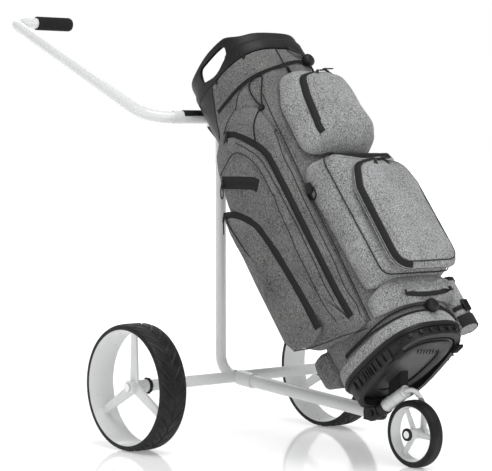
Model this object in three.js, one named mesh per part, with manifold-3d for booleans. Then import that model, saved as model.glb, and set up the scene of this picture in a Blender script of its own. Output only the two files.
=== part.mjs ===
// Three-wheeled golf push cart carrying a cart bag.
// Millimetres, +Z up, +X forward (away from the handle), +Y to the left of someone pushing it.
import * as THREE from 'three';
import { mergeVertices } from 'three/addons/utils/BufferGeometryUtils.js';
import Module from 'manifold-3d';

const wasm = await Module();
wasm.setup();

// ---------------------------------------------------------------- driving dimensions
const GAP = 0.3; // clearance between pieces that touch

// Rear wheels
const REAR_RADIUS = 142.5;
const REAR_WIDTH = 68;
const REAR_TYRE = 10.5;
const TRACK = 594; // between the middle planes of the rear wheels
const RIM_WALL = 3.2;
const REAR_HUB_RADIUS = 15;
const REAR_HUB_LENGTH = 50;
const HUB_SET_BACK = 13; // from the outer face of the wheel to the end of the hub
const SPOKE_THICKNESS = 8;

// Front wheel
const FRONT_RADIUS = 72;
const FRONT_WIDTH = 28;
const FRONT_TYRE = 10.8;
const FRONT_X = 572;
const FRONT_Y = 8;
const FRONT_HUB_RADIUS = 11;

// Axle, beam and mast tubes
const AXLE_RADIUS = 13;
const TUBE_WALL = 2;
const AXLE_PIN_RADIUS = 6;
const BEAM_RADIUS = 15;
const PIVOT_X = 464; // fold pivot at the front end of the beam
const PIVOT_Z = 106;
const MAST_RADIUS = 12.5;
const MAST_X = -58;
const MAST_BEND = 45;
const HEAD_Z = 746; // height of the cross tube at the top of the mast
const HEAD_BEND = 24;
const SLEEVE_RADIUS = MAST_RADIUS + 2.2; // sleeve over the cross tube
const HEAD_SWEEP = 17; // degrees that the cross tube is swept back
const RING_REACH = 119; // from the mast to the handle joint, along the cross tube

// Handle
const HANDLE_RADIUS = 13.5;
const HANDLE_REACH = 187; // from the mast to the first bend, along the cross tube
const HANDLE_BEND = 74;
const GRIP_X = -735;
const GRIP_Z = 993;
const GRIP_CORNER_Y = -126;
const GRIP_BEND = 44;
const GRIP_RADIUS = 17.5;
const GRIP_START = -52;
const GRIP_END = 56;

// Front fold unit
const FRONT_TUBE_RADIUS = 14.5;
const FRONT_TUBE_SLOPE = 32; // degrees above the floor
const FRONT_TUBE_START = 26; // from the fold pivot
const FRONT_TUBE_LENGTH = 72;
const FORK_THICKNESS = 9;

// Bag: x is towards its front, z is along its own axis, and z = 0 is the top of its base
const BAG_LEAN = 38; // degrees from vertical
const BAG_X = 538;
const BAG_Z = 234;
const BASE_DEPTH = 132; // half sizes of the section at the base and at the collar
const BASE_HALF_WIDTH = 105;
const TOP_DEPTH = 122;
const TOP_HALF_WIDTH = 112;
const TOP_SHIFT = -15;
const SECTION_POWER = 2.9; // roundness of the section: 2 is an ellipse, more is squarer
const BODY_HEIGHT = 760;
const BODY_WALL = 4;
const COLLAR_WALL = 11;
const COLLAR_PROUD = 4;
const COLLAR_BAND = 27; // height of the thick lower band of the collar
const BASE_REAR_HEIGHT = 50;
const BASE_FRONT_HEIGHT = 27;
const BASE_RECESS = 22;
const SADDLE_LENGTH = 118; // how far the back saddle runs down from the collar
const BUNGEE_RADIUS = 3.4;
const UPPER_BUNGEE_Z = 700;
const LOWER_BUNGEE_Z = 32;

// Colours
const WHITE_PAINT = { color: 0xf2f3f3, roughness: 0.25, metalness: 0.0 };
const BLACK_PLASTIC = { color: 0x17181a, roughness: 0.5, metalness: 0.0 };
const BLACK_RUBBER = { color: 0x1c1c1d, roughness: 0.85, metalness: 0.0 };
const GREY_FABRIC = { color: 0x77787b, roughness: 0.95, metalness: 0.0 };
const LIGHT_FABRIC = { color: 0x9a9ca0, roughness: 0.95, metalness: 0.0 };
const GREY_PLASTIC = { color: 0x5a5b5d, roughness: 0.55, metalness: 0.0 };
const BLACK_CORD = { color: 0x141415, roughness: 0.8, metalness: 0.0 };
const STEEL = { color: 0xb9bcc0, roughness: 0.28, metalness: 1.0 };

// ---------------------------------------------------------------- small helpers
const radians = THREE.MathUtils.degToRad;
const X_AXIS = new THREE.Vector3(1, 0, 0);
const Y_AXIS = new THREE.Vector3(0, 1, 0);
const Z_AXIS = new THREE.Vector3(0, 0, 1);

function vec(x, y, z) {
  return new THREE.Vector3(x, y, z);
}

function bare(geometry) {
  const copy = geometry.clone();
  copy.deleteAttribute('normal');
  copy.deleteAttribute('uv');
  return mergeVertices(copy, 1e-4);
}

function solid(geometry) {
  const merged = bare(geometry);
  const mesh = new wasm.Mesh({
    numProp: 3,
    vertProperties: new Float32Array(merged.attributes.position.array),
    triVerts: new Uint32Array(merged.index.array),
  });
  return new wasm.Manifold(mesh);
}

function shell(manifold) {
  const mesh = manifold.getMesh();
  const geometry = new THREE.BufferGeometry();
  geometry.setAttribute('position', new THREE.BufferAttribute(mesh.vertProperties, 3));
  geometry.setIndex(new THREE.BufferAttribute(mesh.triVerts, 1));
  return geometry;
}

function join(...geometries) {
  return shell(geometries.map(solid).reduce((sum, next) => sum.add(next)));
}

function cut(geometry, ...tools) {
  return shell(tools.map(solid).reduce((rest, tool) => rest.subtract(tool), solid(geometry)));
}

function common(a, b) {
  return shell(solid(a).intersect(solid(b)));
}

function place(geometry, x, y, z) {
  geometry.translate(x, y, z);
  return geometry;
}

// A cylinder along a direction, from one point to another.
function rod(from, to, radius, sides = 18) {
  const span = to.clone().sub(from);
  const geometry = new THREE.CylinderGeometry(radius, radius, span.length(), sides);
  geometry.applyQuaternion(new THREE.Quaternion().setFromUnitVectors(Y_AXIS, span.clone().normalize()));
  const middle = from.clone().add(to).multiplyScalar(0.5);
  return place(geometry, middle.x, middle.y, middle.z);
}

// A cylinder along Y.
function crossRod(x, z, y0, y1, radius, sides = 18) {
  return rod(vec(x, y0, z), vec(x, y1, z), radius, sides);
}

function box(x0, x1, y0, y1, z0, z1) {
  const geometry = new THREE.BoxGeometry(x1 - x0, y1 - y0, z1 - z0);
  return place(geometry, (x0 + x1) / 2, (y0 + y1) / 2, (z0 + z1) / 2);
}

// A path of straight runs joined by round bends, with one station at each end of a run.
class BentPath extends THREE.Curve {
  constructor(corners, bends, bendSteps) {
    super();
    this.stations = [];
    const last = corners.length - 1;
    const heading = (i) => corners[i + 1].clone().sub(corners[i]).normalize();
    this.stations.push({ point: corners[0], tangent: heading(0) });
    for (let i = 1; i < last; i += 1) {
      const before = heading(i - 1);
      const after = heading(i);
      const turn = before.angleTo(after);
      const reach = bends[i - 1] * Math.tan(turn / 2);
      const start = corners[i].clone().addScaledVector(before, -reach);
      const side = after.clone().addScaledVector(before, -after.dot(before)).normalize();
      for (let k = 0; k <= bendSteps; k += 1) {
        const angle = (turn * k) / bendSteps;
        const point = start.clone();
        point.addScaledVector(before, bends[i - 1] * Math.sin(angle));
        point.addScaledVector(side, bends[i - 1] * (1 - Math.cos(angle)));
        const tangent = before.clone().multiplyScalar(Math.cos(angle));
        this.stations.push({ point, tangent: tangent.addScaledVector(side, Math.sin(angle)) });
      }
    }
    this.stations.push({ point: corners[last], tangent: heading(last - 1) });
    this.steps = this.stations.length - 1;
  }

  at(t) {
    return this.stations[Math.round(t * this.steps)];
  }

  getPoint(t) {
    return this.at(t).point.clone();
  }

  getTangent(t) {
    return this.at(t).tangent.clone();
  }

  getUtoTmapping(u) {
    return u;
  }
}

function circle(radius, sides) {
  const points = [];
  for (let i = 0; i < sides; i += 1) {
    const angle = (2 * Math.PI * i) / sides;
    points.push(new THREE.Vector2(radius * Math.cos(angle), radius * Math.sin(angle)));
  }
  return points;
}

function along(path, outline, hole = null) {
  const shape = new THREE.Shape(outline);
  if (hole) shape.holes.push(new THREE.Path(hole));
  return new THREE.ExtrudeGeometry(shape, { steps: path.steps, bevelEnabled: false, extrudePath: path });
}

function pipe(path, radius, wall, sides = 16) {
  return along(path, circle(radius, sides), circle(radius - wall, sides));
}

function bar(path, radius, sides = 16) {
  return along(path, circle(radius, sides));
}

// An outline of (a, b, radius) corners with each corner rounded by an arc.
function rounded(corners, arcSteps = 3) {
  const points = [];
  corners.forEach(([a, b, radius = 0], i) => {
    const corner = new THREE.Vector2(a, b);
    const previous = corners[(i + corners.length - 1) % corners.length];
    const next = corners[(i + 1) % corners.length];
    const back = new THREE.Vector2(previous[0], previous[1]).sub(corner).normalize();
    const ahead = new THREE.Vector2(next[0], next[1]).sub(corner).normalize();
    if (radius === 0) {
      points.push(corner);
      return;
    }
    const half = Math.acos(THREE.MathUtils.clamp(back.dot(ahead), -1, 1)) / 2;
    const reach = radius / Math.tan(half);
    const start = corner.clone().addScaledVector(back, reach);
    const centre = corner.clone().add(
      back.clone().add(ahead).normalize().multiplyScalar(radius / Math.sin(half)),
    );
    const arm = start.clone().sub(centre);
    const turn = Math.sign(back.cross(ahead)) * (Math.PI - 2 * half);
    for (let k = 0; k <= arcSteps; k += 1) {
      points.push(arm.clone().rotateAround(new THREE.Vector2(), (-turn * k) / arcSteps).add(centre));
    }
  });
  return points;
}

// A plate with soft edges: an outline in one plane, its thickness along the third axis.
function plate(outline, thickness, bevel, bevelSteps) {
  return new THREE.ExtrudeGeometry(new THREE.Shape(outline), {
    depth: thickness - 2 * bevel,
    bevelEnabled: bevel > 0,
    bevelThickness: bevel,
    bevelSize: bevel,
    bevelOffset: -bevel,
    bevelSegments: bevelSteps,
    steps: 1,
  });
}

// Outline in (x, z), thickness from y0 to y1.
function plateXZ(outline, y0, y1, bevel = 0, bevelSteps = 2) {
  const geometry = plate(outline, y1 - y0, bevel, bevelSteps);
  geometry.applyMatrix4(new THREE.Matrix4().makeBasis(X_AXIS, Z_AXIS, Y_AXIS.clone().negate()));
  return place(geometry, 0, y1 - bevel, 0);
}

// Outline in (y, z), thickness from x0 to x1.
function plateYZ(outline, x0, x1, bevel = 0, bevelSteps = 2) {
  const geometry = plate(outline, x1 - x0, bevel, bevelSteps);
  geometry.applyMatrix4(new THREE.Matrix4().makeBasis(Y_AXIS, Z_AXIS, X_AXIS));
  return place(geometry, x0 + bevel, 0, 0);
}

// A ring turned about the Y axis from (radius, y) corners that close on themselves.
// Half a facet of turn puts a flat facet, not an edge, on the floor.
function turned(profile, segments) {
  const points = profile.map(([radius, y]) => new THREE.Vector2(radius, y));
  points.push(points[0].clone());
  const geometry = new THREE.LatheGeometry(points, segments);
  geometry.rotateY(Math.PI / segments);
  return geometry;
}

function piece(name, look, geometry) {
  const mesh = new THREE.Mesh(geometry, new THREE.MeshStandardMaterial(look));
  mesh.name = name;
  return mesh;
}

// ---------------------------------------------------------------- wheels
function wheelProfile(outer, inner, halfWidth, crown) {
  return [
    [inner, -halfWidth],
    [outer - crown, -halfWidth],
    [outer - crown * 0.3, -halfWidth + crown],
    [outer, -halfWidth / 3],
    [outer, halfWidth / 3],
    [outer - crown * 0.3, halfWidth - crown],
    [outer - crown, halfWidth],
    [inner, halfWidth],
  ];
}

function spokes(length, rootWidth, tipWidth, thickness, y, firstAngle) {
  const blades = [];
  for (let i = 0; i < 3; i += 1) {
    const outline = [
      new THREE.Vector2(0, -rootWidth / 2),
      new THREE.Vector2(length, -tipWidth / 2),
      new THREE.Vector2(length, tipWidth / 2),
      new THREE.Vector2(0, rootWidth / 2),
    ];
    const blade = plateXZ(outline, y - thickness / 2, y + thickness / 2, 2, 1);
    blade.rotateY(-radians(firstAngle + 120 * i));
    blades.push(blade);
  }
  return blades;
}

// A rear wheel about its own centre, with its outer face towards -Y.
const rearRimRadius = REAR_RADIUS - REAR_TYRE;
const rearHalf = REAR_WIDTH / 2;
const rearHubOuter = -rearHalf + HUB_SET_BACK;
const rearHubInner = rearHubOuter + REAR_HUB_LENGTH;
const REAR_SEGMENTS = 48;

function rearRim() {
  const lip = 3;
  const barrel = turned([
    [rearRimRadius - RIM_WALL, -rearHalf],
    [rearRimRadius, -rearHalf],
    [rearRimRadius, rearHalf],
    [rearRimRadius - RIM_WALL, rearHalf],
    [rearRimRadius - RIM_WALL, rearHalf - lip],
    [rearRimRadius - RIM_WALL - 1, 0],
    [rearRimRadius - RIM_WALL, -rearHalf + lip],
  ], REAR_SEGMENTS);
  const hub = crossRod(0, 0, rearHubOuter, rearHubInner, REAR_HUB_RADIUS);
  const blades = spokes(rearRimRadius - RIM_WALL + 1, 27, 17, SPOKE_THICKNESS, -3, 90);
  const bore = crossRod(0, 0, -rearHalf, rearHalf, AXLE_PIN_RADIUS + GAP);
  return cut(join(barrel, hub, ...blades), bore);
}

function rearTyre() {
  return turned(wheelProfile(REAR_RADIUS, rearRimRadius + GAP, rearHalf, 4), REAR_SEGMENTS);
}

const frontRimRadius = FRONT_RADIUS - FRONT_TYRE;
const frontHalf = FRONT_WIDTH / 2;
const FRONT_SEGMENTS = 32;
const FRONT_HUB_OUTER = -frontHalf - 6;
const FRONT_HUB_INNER = frontHalf - 3;
const FRONT_PIN_RADIUS = 4;

function frontRim() {
  const barrel = turned([
    [frontRimRadius - 4, -frontHalf],
    [frontRimRadius, -frontHalf],
    [frontRimRadius, frontHalf],
    [frontRimRadius - 4, frontHalf],
    [frontRimRadius - 5, 0],
  ], FRONT_SEGMENTS);
  const hub = crossRod(0, 0, FRONT_HUB_OUTER, FRONT_HUB_INNER, FRONT_HUB_RADIUS);
  const blades = spokes(frontRimRadius - 4.5, 15, 11, 6, 0, 116);
  const bore = crossRod(0, 0, -60, 60, FRONT_PIN_RADIUS + GAP, 12);
  return cut(join(barrel, hub, ...blades), bore);
}

function frontTyre() {
  return turned(wheelProfile(FRONT_RADIUS, frontRimRadius + GAP, frontHalf, 4), FRONT_SEGMENTS);
}

// ---------------------------------------------------------------- frame
const wheelFace = TRACK / 2 + rearHalf; // outer face of a rear wheel
const hubInnerY = wheelFace - HUB_SET_BACK - REAR_HUB_LENGTH; // inner end of a rear hub
const SPACER_LENGTH = 8;
const SPACER_RADIUS = 16.5;
const axleEnd = hubInnerY - SPACER_LENGTH - 2 * GAP;
const axleZ = REAR_RADIUS;
const PIN_INSERT = 40; // how far an axle pin runs into the axle tube

function axleTube() {
  const outer = crossRod(0, axleZ, -axleEnd, axleEnd, AXLE_RADIUS);
  const inner = crossRod(0, axleZ, -axleEnd - 1, axleEnd + 1, AXLE_RADIUS - TUBE_WALL);
  return cut(outer, inner);
}

function axlePin(side) {
  const inside = side * (axleEnd - PIN_INSERT);
  const outside = side * (wheelFace - HUB_SET_BACK + 4);
  const shaft = crossRod(0, axleZ, inside, outside, AXLE_PIN_RADIUS);
  const cap = crossRod(0, axleZ, side * (wheelFace - HUB_SET_BACK + GAP), outside, AXLE_PIN_RADIUS + 3);
  const plug = crossRod(0, axleZ, inside, side * (axleEnd - 2), AXLE_RADIUS - TUBE_WALL - GAP);
  return join(shaft, cap, plug);
}

function axleSpacer(side) {
  const disc = crossRod(0, axleZ, side * (axleEnd + GAP), side * (hubInnerY - GAP), SPACER_RADIUS);
  return cut(disc, crossRod(0, axleZ, -400, 400, AXLE_PIN_RADIUS + GAP));
}

// The mast is one bent tube: out of the axle, up, and over into the swept cross tube.
const sweep = radians(HEAD_SWEEP);
const crossDirection = vec(-Math.sin(sweep), -Math.cos(sweep), 0);
const headPoint = (reach) => vec(MAST_X, 0, HEAD_Z).addScaledVector(crossDirection, reach);
const mastPath = new BentPath(
  [vec(-5, 0, axleZ + 3), vec(MAST_X, 0, axleZ + 3), vec(MAST_X, 0, HEAD_Z), headPoint(RING_REACH)],
  [MAST_BEND, HEAD_BEND],
  5,
);

function mast() {
  const tube = pipe(mastPath, MAST_RADIUS, TUBE_WALL);
  return cut(tube, crossRod(0, axleZ, -60, 60, AXLE_RADIUS + GAP));
}

const beamDirection = vec(PIVOT_X, 0, PIVOT_Z - axleZ).normalize();
const beamPoint = (distance) => vec(0, 0, axleZ).addScaledVector(beamDirection, distance);
const beamLength = Math.hypot(PIVOT_X, PIVOT_Z - axleZ);
const BEAM_START = 32;
const BEAM_END_GAP = 24; // from the end of the beam to the fold pivot
const SOCKET_START = 10;
const SOCKET_END = 62;
const SOCKET_RADIUS = 17.6;

function beam() {
  const from = beamPoint(BEAM_START);
  const to = beamPoint(beamLength - BEAM_END_GAP);
  const inner = rod(beamPoint(0), beamPoint(beamLength), BEAM_RADIUS - TUBE_WALL);
  return cut(rod(from, to, BEAM_RADIUS), inner);
}

function beamSocket() {
  const outer = rod(beamPoint(SOCKET_START), beamPoint(SOCKET_END), SOCKET_RADIUS, 20);
  const seat = rod(beamPoint(BEAM_START - GAP), beamPoint(SOCKET_END + 5), BEAM_RADIUS + GAP);
  return cut(outer, seat, crossRod(0, axleZ, -60, 60, AXLE_RADIUS + GAP));
}

// ---------------------------------------------------------------- fold joint and front fork
const KNUCKLE_RADIUS = 17;
const TONGUE_HALF = 8.5;
const YOKE_HALF = 17;
const FOLD_PIN_RADIUS = 4;
const frontSlope = radians(FRONT_TUBE_SLOPE);
const frontDirection = vec(Math.cos(frontSlope), 0, Math.sin(frontSlope));
const pivot = vec(PIVOT_X, 0, PIVOT_Z);
const frontPoint = (distance) => pivot.clone().addScaledVector(frontDirection, distance);
const frontTubeEnd = FRONT_TUBE_START + FRONT_TUBE_LENGTH;

function foldPinHole() {
  return crossRod(PIVOT_X, PIVOT_Z, -60, 60, FOLD_PIN_RADIUS + GAP, 12);
}

function foldYoke() {
  const end = beamLength - BEAM_END_GAP;
  const plug = rod(beamPoint(end - 30), beamPoint(end + 2), BEAM_RADIUS - TUBE_WALL - GAP);
  const collar = rod(beamPoint(end + GAP), beamPoint(end + 8), KNUCKLE_RADIUS);
  const eye = crossRod(PIVOT_X, PIVOT_Z, -YOKE_HALF, YOKE_HALF, KNUCKLE_RADIUS);
  const web = box(-BEAM_END_GAP + 2, 0, -YOKE_HALF, YOKE_HALF, -KNUCKLE_RADIUS + 1, KNUCKLE_RADIUS - 1);
  web.rotateY(-Math.atan2(beamDirection.z, beamDirection.x));
  place(web, PIVOT_X, 0, PIVOT_Z);
  const slotEye = crossRod(PIVOT_X, PIVOT_Z, -TONGUE_HALF - GAP, TONGUE_HALF + GAP, KNUCKLE_RADIUS + 1);
  const slotReach = KNUCKLE_RADIUS * 3;
  const slot = box(0, slotReach, -TONGUE_HALF - GAP, TONGUE_HALF + GAP, -slotReach, slotReach);
  place(slot, PIVOT_X, 0, PIVOT_Z);
  return cut(join(plug, collar, eye, web), slotEye, slot, foldPinHole());
}

function foldTongue() {
  const eye = crossRod(PIVOT_X, PIVOT_Z, -TONGUE_HALF, TONGUE_HALF, KNUCKLE_RADIUS - 1);
  const neck = rod(frontPoint(2), frontPoint(FRONT_TUBE_START - 4), TONGUE_HALF, 20);
  const cupStart = KNUCKLE_RADIUS + 2;
  const cup = rod(frontPoint(cupStart), frontPoint(cupStart + 16), FRONT_TUBE_RADIUS + 2.5, 20);
  const seat = rod(frontPoint(FRONT_TUBE_START - GAP), frontPoint(cupStart + 20), FRONT_TUBE_RADIUS + GAP, 20);
  return cut(join(eye, neck, cut(cup, seat)), foldPinHole());
}

function foldPin() {
  const shaft = crossRod(PIVOT_X, PIVOT_Z, -YOKE_HALF - 2, YOKE_HALF + 2, FOLD_PIN_RADIUS, 12);
  const heads = [-1, 1].map((side) => (
    crossRod(PIVOT_X, PIVOT_Z, side * (YOKE_HALF + GAP), side * (YOKE_HALF + 3.5), 7)
  ));
  return join(shaft, ...heads);
}

// The white front tube: turned, with two grooves round it.
function frontTube() {
  const groove = 1.2;
  const profile = [[0, 0], [FRONT_TUBE_RADIUS, 0]];
  [0.36, 0.62].forEach((share) => {
    const at = FRONT_TUBE_LENGTH * share;
    profile.push([FRONT_TUBE_RADIUS, at - 1.5], [FRONT_TUBE_RADIUS - groove, at]);
    profile.push([FRONT_TUBE_RADIUS, at + 1.5]);
  });
  profile.push([FRONT_TUBE_RADIUS, FRONT_TUBE_LENGTH], [0, FRONT_TUBE_LENGTH]);
  const geometry = new THREE.LatheGeometry(profile.map(([r, y]) => new THREE.Vector2(r, y)), 28);
  geometry.applyQuaternion(new THREE.Quaternion().setFromUnitVectors(Y_AXIS, frontDirection));
  const start = frontPoint(FRONT_TUBE_START);
  return place(geometry, start.x, start.y, start.z);
}

// The fork leg comes off the end of the front tube, turns down and runs beside the wheel.
const forkY = FRONT_Y + frontHalf + 6 + FORK_THICKNESS / 2;
const FORK_CAP_START = frontTubeEnd + GAP;
const forkPath = new BentPath(
  [
    frontPoint(FORK_CAP_START + 5),
    frontPoint(frontTubeEnd + 26).add(vec(0, 6, 0)),
    vec(FRONT_X + 4, forkY, FRONT_RADIUS + 58),
    vec(FRONT_X, forkY, FRONT_RADIUS - 4),
  ],
  [16, 20],
  4,
);

function forkLeg() {
  const outline = rounded([[-9, -5, 4], [9, -5, 4], [9, 5, 4], [-9, 5, 4]], 3);
  const leg = along(forkPath, outline);
  const cap = rod(frontPoint(FORK_CAP_START), frontPoint(frontTubeEnd + 9), FRONT_TUBE_RADIUS - 1.5);
  const boss = crossRod(FRONT_X, FRONT_RADIUS, forkY - 6, forkY + 6, 12);
  const tyreRoom = crossRod(FRONT_X, FRONT_RADIUS, FRONT_Y - frontHalf - 4, FRONT_Y + frontHalf + 3, FRONT_RADIUS + 5, 40);
  const hole = crossRod(FRONT_X, FRONT_RADIUS, -60, 90, FRONT_PIN_RADIUS + GAP, 12);
  const headRoom = crossRod(FRONT_X, FRONT_RADIUS, forkY + 6, forkY + 14, 9);
  return cut(join(leg, cap, boss), tyreRoom, hole, headRoom);
}

function frontAxlePin() {
  const nearEnd = FRONT_Y + FRONT_HUB_OUTER;
  const shaft = crossRod(FRONT_X, FRONT_RADIUS, nearEnd - 3, forkY + 10, FRONT_PIN_RADIUS, 12);
  const farHead = crossRod(FRONT_X, FRONT_RADIUS, forkY + 6 + GAP, forkY + 11, 7, 6);
  const nearHead = crossRod(FRONT_X, FRONT_RADIUS, nearEnd - 6, nearEnd - GAP, 8);
  return join(shaft, farHead, nearHead);
}

// ---------------------------------------------------------------- handle
const handleStart = headPoint(RING_REACH + GAP);
const gripCorner = vec(GRIP_X, GRIP_CORNER_Y, GRIP_Z);
const handlePath = new BentPath(
  [handleStart, headPoint(HANDLE_REACH), gripCorner, vec(GRIP_X, GRIP_END - 6, GRIP_Z)],
  [HANDLE_BEND, GRIP_BEND],
  6,
);

function handleTube() {
  return pipe(handlePath, HANDLE_RADIUS, TUBE_WALL);
}

function jointSleeve(reach0, reach1, outer) {
  const sleeve = rod(headPoint(reach0), headPoint(reach1), outer, 20);
  return cut(sleeve, rod(headPoint(reach0 - 5), headPoint(reach1 + 5), HANDLE_RADIUS + GAP));
}

function handleSpigot() {
  const radius = Math.min(MAST_RADIUS, HANDLE_RADIUS) - TUBE_WALL - GAP;
  return rod(headPoint(RING_REACH - 34), headPoint(RING_REACH + 3), radius, 20);
}

function grip() {
  const profile = [
    [0, GRIP_END],
    [0, GRIP_END - 4],
    [HANDLE_RADIUS + GAP, GRIP_END - 4],
    [HANDLE_RADIUS + GAP, GRIP_START],
    [GRIP_RADIUS - 1.5, GRIP_START],
    [GRIP_RADIUS, GRIP_START + 2],
    [GRIP_RADIUS, GRIP_END - 6],
    [GRIP_RADIUS - 2, GRIP_END - 1.5],
    [GRIP_RADIUS - 6, GRIP_END],
    [0, GRIP_END],
  ];
  const geometry = new THREE.LatheGeometry(profile.map(([r, y]) => new THREE.Vector2(r, y)), 28);
  return place(geometry, GRIP_X, 0, GRIP_Z);
}

function restPad() {
  const outer = jointSleeve(38, 96, SLEEVE_RADIUS + 1.8);
  const room = rod(headPoint(30), headPoint(104), SLEEVE_RADIUS + GAP, 20);
  const upper = box(MAST_X - 60, MAST_X + 40, -120, -20, HEAD_Z + 3, HEAD_Z + 40);
  return common(cut(outer, room), upper);
}

// ---------------------------------------------------------------- the bag's section
const leanAngle = radians(BAG_LEAN);
const bagMatrix = new THREE.Matrix4().makeRotationY(-leanAngle).setPosition(BAG_X, 0, BAG_Z);
const toBagMatrix = bagMatrix.clone().invert();

// A piece of the cart seen in the bag's own frame, for cutting the bag's pieces round it.
function inBag(geometry) {
  return geometry.clone().applyMatrix4(toBagMatrix);
}

function inWorld(geometry) {
  return geometry.clone().applyMatrix4(bagMatrix);
}

function sectionAt(z) {
  const share = z / BODY_HEIGHT;
  return {
    shift: TOP_SHIFT * share,
    depth: THREE.MathUtils.lerp(BASE_DEPTH, TOP_DEPTH, share),
    width: THREE.MathUtils.lerp(BASE_HALF_WIDTH, TOP_HALF_WIDTH, share),
  };
}

function roundPower(value) {
  return Math.sign(value) * Math.abs(value) ** (2 / SECTION_POWER);
}

const SECTION_SIDES = 36;
const unitSection = circle(1, SECTION_SIDES).map((point) => (
  new THREE.Vector2(roundPower(point.x), roundPower(point.y))
));

// A closed solid of the bag's section between two heights, grown or shrunk by an offset.
function sectionSolid(z0, z1, offset, steps = 2) {
  const offsetAt = typeof offset === 'function' ? offset : () => offset;
  const geometry = new THREE.ExtrudeGeometry(new THREE.Shape(unitSection), {
    depth: 1,
    steps,
    bevelEnabled: false,
  });
  const position = geometry.attributes.position;
  for (let i = 0; i < position.count; i += 1) {
    const z = THREE.MathUtils.lerp(z0, z1, position.getZ(i));
    const { shift, depth, width } = sectionAt(z);
    const grow = offsetAt(z);
    position.setXYZ(i, shift + position.getX(i) * (depth + grow), position.getY(i) * (width + grow), z);
  }
  return geometry;
}

// A point on the section at a height, offset outwards; angle 0 is the front, 90 the left.
function sectionPoint(angle, z, offset) {
  const { shift, depth, width } = sectionAt(z);
  const x = shift + roundPower(Math.cos(angle)) * (depth + offset);
  return vec(x, roundPower(Math.sin(angle)) * (width + offset), z);
}

const bodyRoom = () => sectionSolid(-40, BODY_HEIGHT + 40, GAP);

// ---------------------------------------------------------------- bag shell pieces
function bagBody() {
  return cut(
    sectionSolid(GAP, BODY_HEIGHT - GAP, 0, 4),
    sectionSolid(-20, BODY_HEIGHT + 20, -BODY_WALL, 4),
  );
}

// The collar's top edge is low over the front and high along the sides.
function collarTopCut() {
  const edge = new THREE.SplineCurve([
    new THREE.Vector2(-180, BODY_HEIGHT + 56),
    new THREE.Vector2(-77, BODY_HEIGHT + 64),
    new THREE.Vector2(0, BODY_HEIGHT + 71),
    new THREE.Vector2(52, BODY_HEIGHT + 70),
    new THREE.Vector2(92, BODY_HEIGHT + 52),
    new THREE.Vector2(150, BODY_HEIGHT + 38),
  ]).getPoints(18);
  const above = BODY_HEIGHT + 200;
  const outline = [...edge, new THREE.Vector2(150, above), new THREE.Vector2(-180, above)];
  return plateXZ(outline, -200, 200);
}

// One hand hole runs straight through both sides of the collar.
function handHole() {
  const outline = rounded([
    [-52, BODY_HEIGHT + 24, 8],
    [0, BODY_HEIGHT + 10, 24],
    [40, BODY_HEIGHT + 24, 10],
    [52, BODY_HEIGHT + 52, 8],
    [-44, BODY_HEIGHT + 55, 12],
  ]);
  return plateXZ(outline, -200, 200);
}

function collar() {
  const band = sectionSolid(BODY_HEIGHT, BODY_HEIGHT + COLLAR_BAND, COLLAR_PROUD, 1);
  const rim = sectionSolid(BODY_HEIGHT + COLLAR_BAND - 6, BODY_HEIGHT + 90, 0.5, 2);
  const inside = sectionSolid(BODY_HEIGHT - 20, BODY_HEIGHT + 110, COLLAR_PROUD - COLLAR_WALL);
  return cut(join(band, rim), inside, collarTopCut(), handHole());
}

// A moulded saddle wraps the back of the bag under the collar and narrows downwards.
function backSaddle() {
  const top = BODY_HEIGHT - GAP;
  const skin = cut(sectionSolid(top - SADDLE_LENGTH, top, COLLAR_PROUD), bodyRoom());
  const outline = rounded([
    [-28, top + 10],
    [-28, top],
    [-80, top - 92, 30],
    [-112, top - SADDLE_LENGTH],
    [-220, top - SADDLE_LENGTH],
    [-220, top + 10],
  ]);
  return common(skin, plateXZ(outline, -200, 200));
}

// ---------------------------------------------------------------- base
const baseTilt = (BASE_REAR_HEIGHT - BASE_FRONT_HEIGHT) / (2 * BASE_DEPTH);
const baseBottomAt = (x) => -(BASE_REAR_HEIGHT + BASE_FRONT_HEIGHT) / 2 + baseTilt * x;
const BASE_LIP = 3;
const BASE_LIP_HEIGHT = 9;
const BASE_TAPER = 7;
const BASE_RIM = 13; // thickness of the wall round the underside recess

function belowBase() {
  const far = 220;
  const outline = [
    new THREE.Vector2(-far, -300),
    new THREE.Vector2(far, -300),
    new THREE.Vector2(far, baseBottomAt(far)),
    new THREE.Vector2(-far, baseBottomAt(-far)),
  ];
  return plateXZ(outline, -far, far);
}

// Room for the fold knuckle and the front tube that lie under the base.
function frontTubeRoom() {
  const knuckle = crossRod(PIVOT_X, PIVOT_Z, -YOKE_HALF - 5, YOKE_HALF + 5, KNUCKLE_RADIUS + 2.5);
  const tube = rod(pivot, frontPoint(frontTubeEnd + 34), FRONT_TUBE_RADIUS + 4);
  return [inBag(knuckle), inBag(tube)];
}

function sideVents() {
  const vents = [];
  for (const side of [-1, 1]) {
    for (let i = 0; i < 5; i += 1) {
      const x = -62 + 15 * i;
      vents.push(box(x - 2, x + 2, side > 0 ? 96 : -120, side > 0 ? 120 : -96, -36, -16));
    }
  }
  return vents;
}

function bagBase() {
  const wall = sectionSolid(-BASE_REAR_HEIGHT - 10, 0, (z) => (BASE_TAPER * z) / BASE_REAR_HEIGHT, 1);
  const lip = sectionSolid(-BASE_LIP_HEIGHT, 0, BASE_LIP, 1);
  const recess = sectionSolid(-200, -BASE_RECESS, -BASE_RIM - BASE_TAPER * 0.6);
  return cut(join(wall, lip), belowBase(), recess, ...frontTubeRoom(), ...sideVents());
}

const PANEL_THICKNESS = 8;
function basePanel() {
  const bottom = -BASE_RECESS - PANEL_THICKNESS;
  const inset = -BASE_RIM - BASE_TAPER * 0.6 - 4;
  return cut(sectionSolid(bottom, -BASE_RECESS - GAP, inset, 1), ...frontTubeRoom());
}

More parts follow.
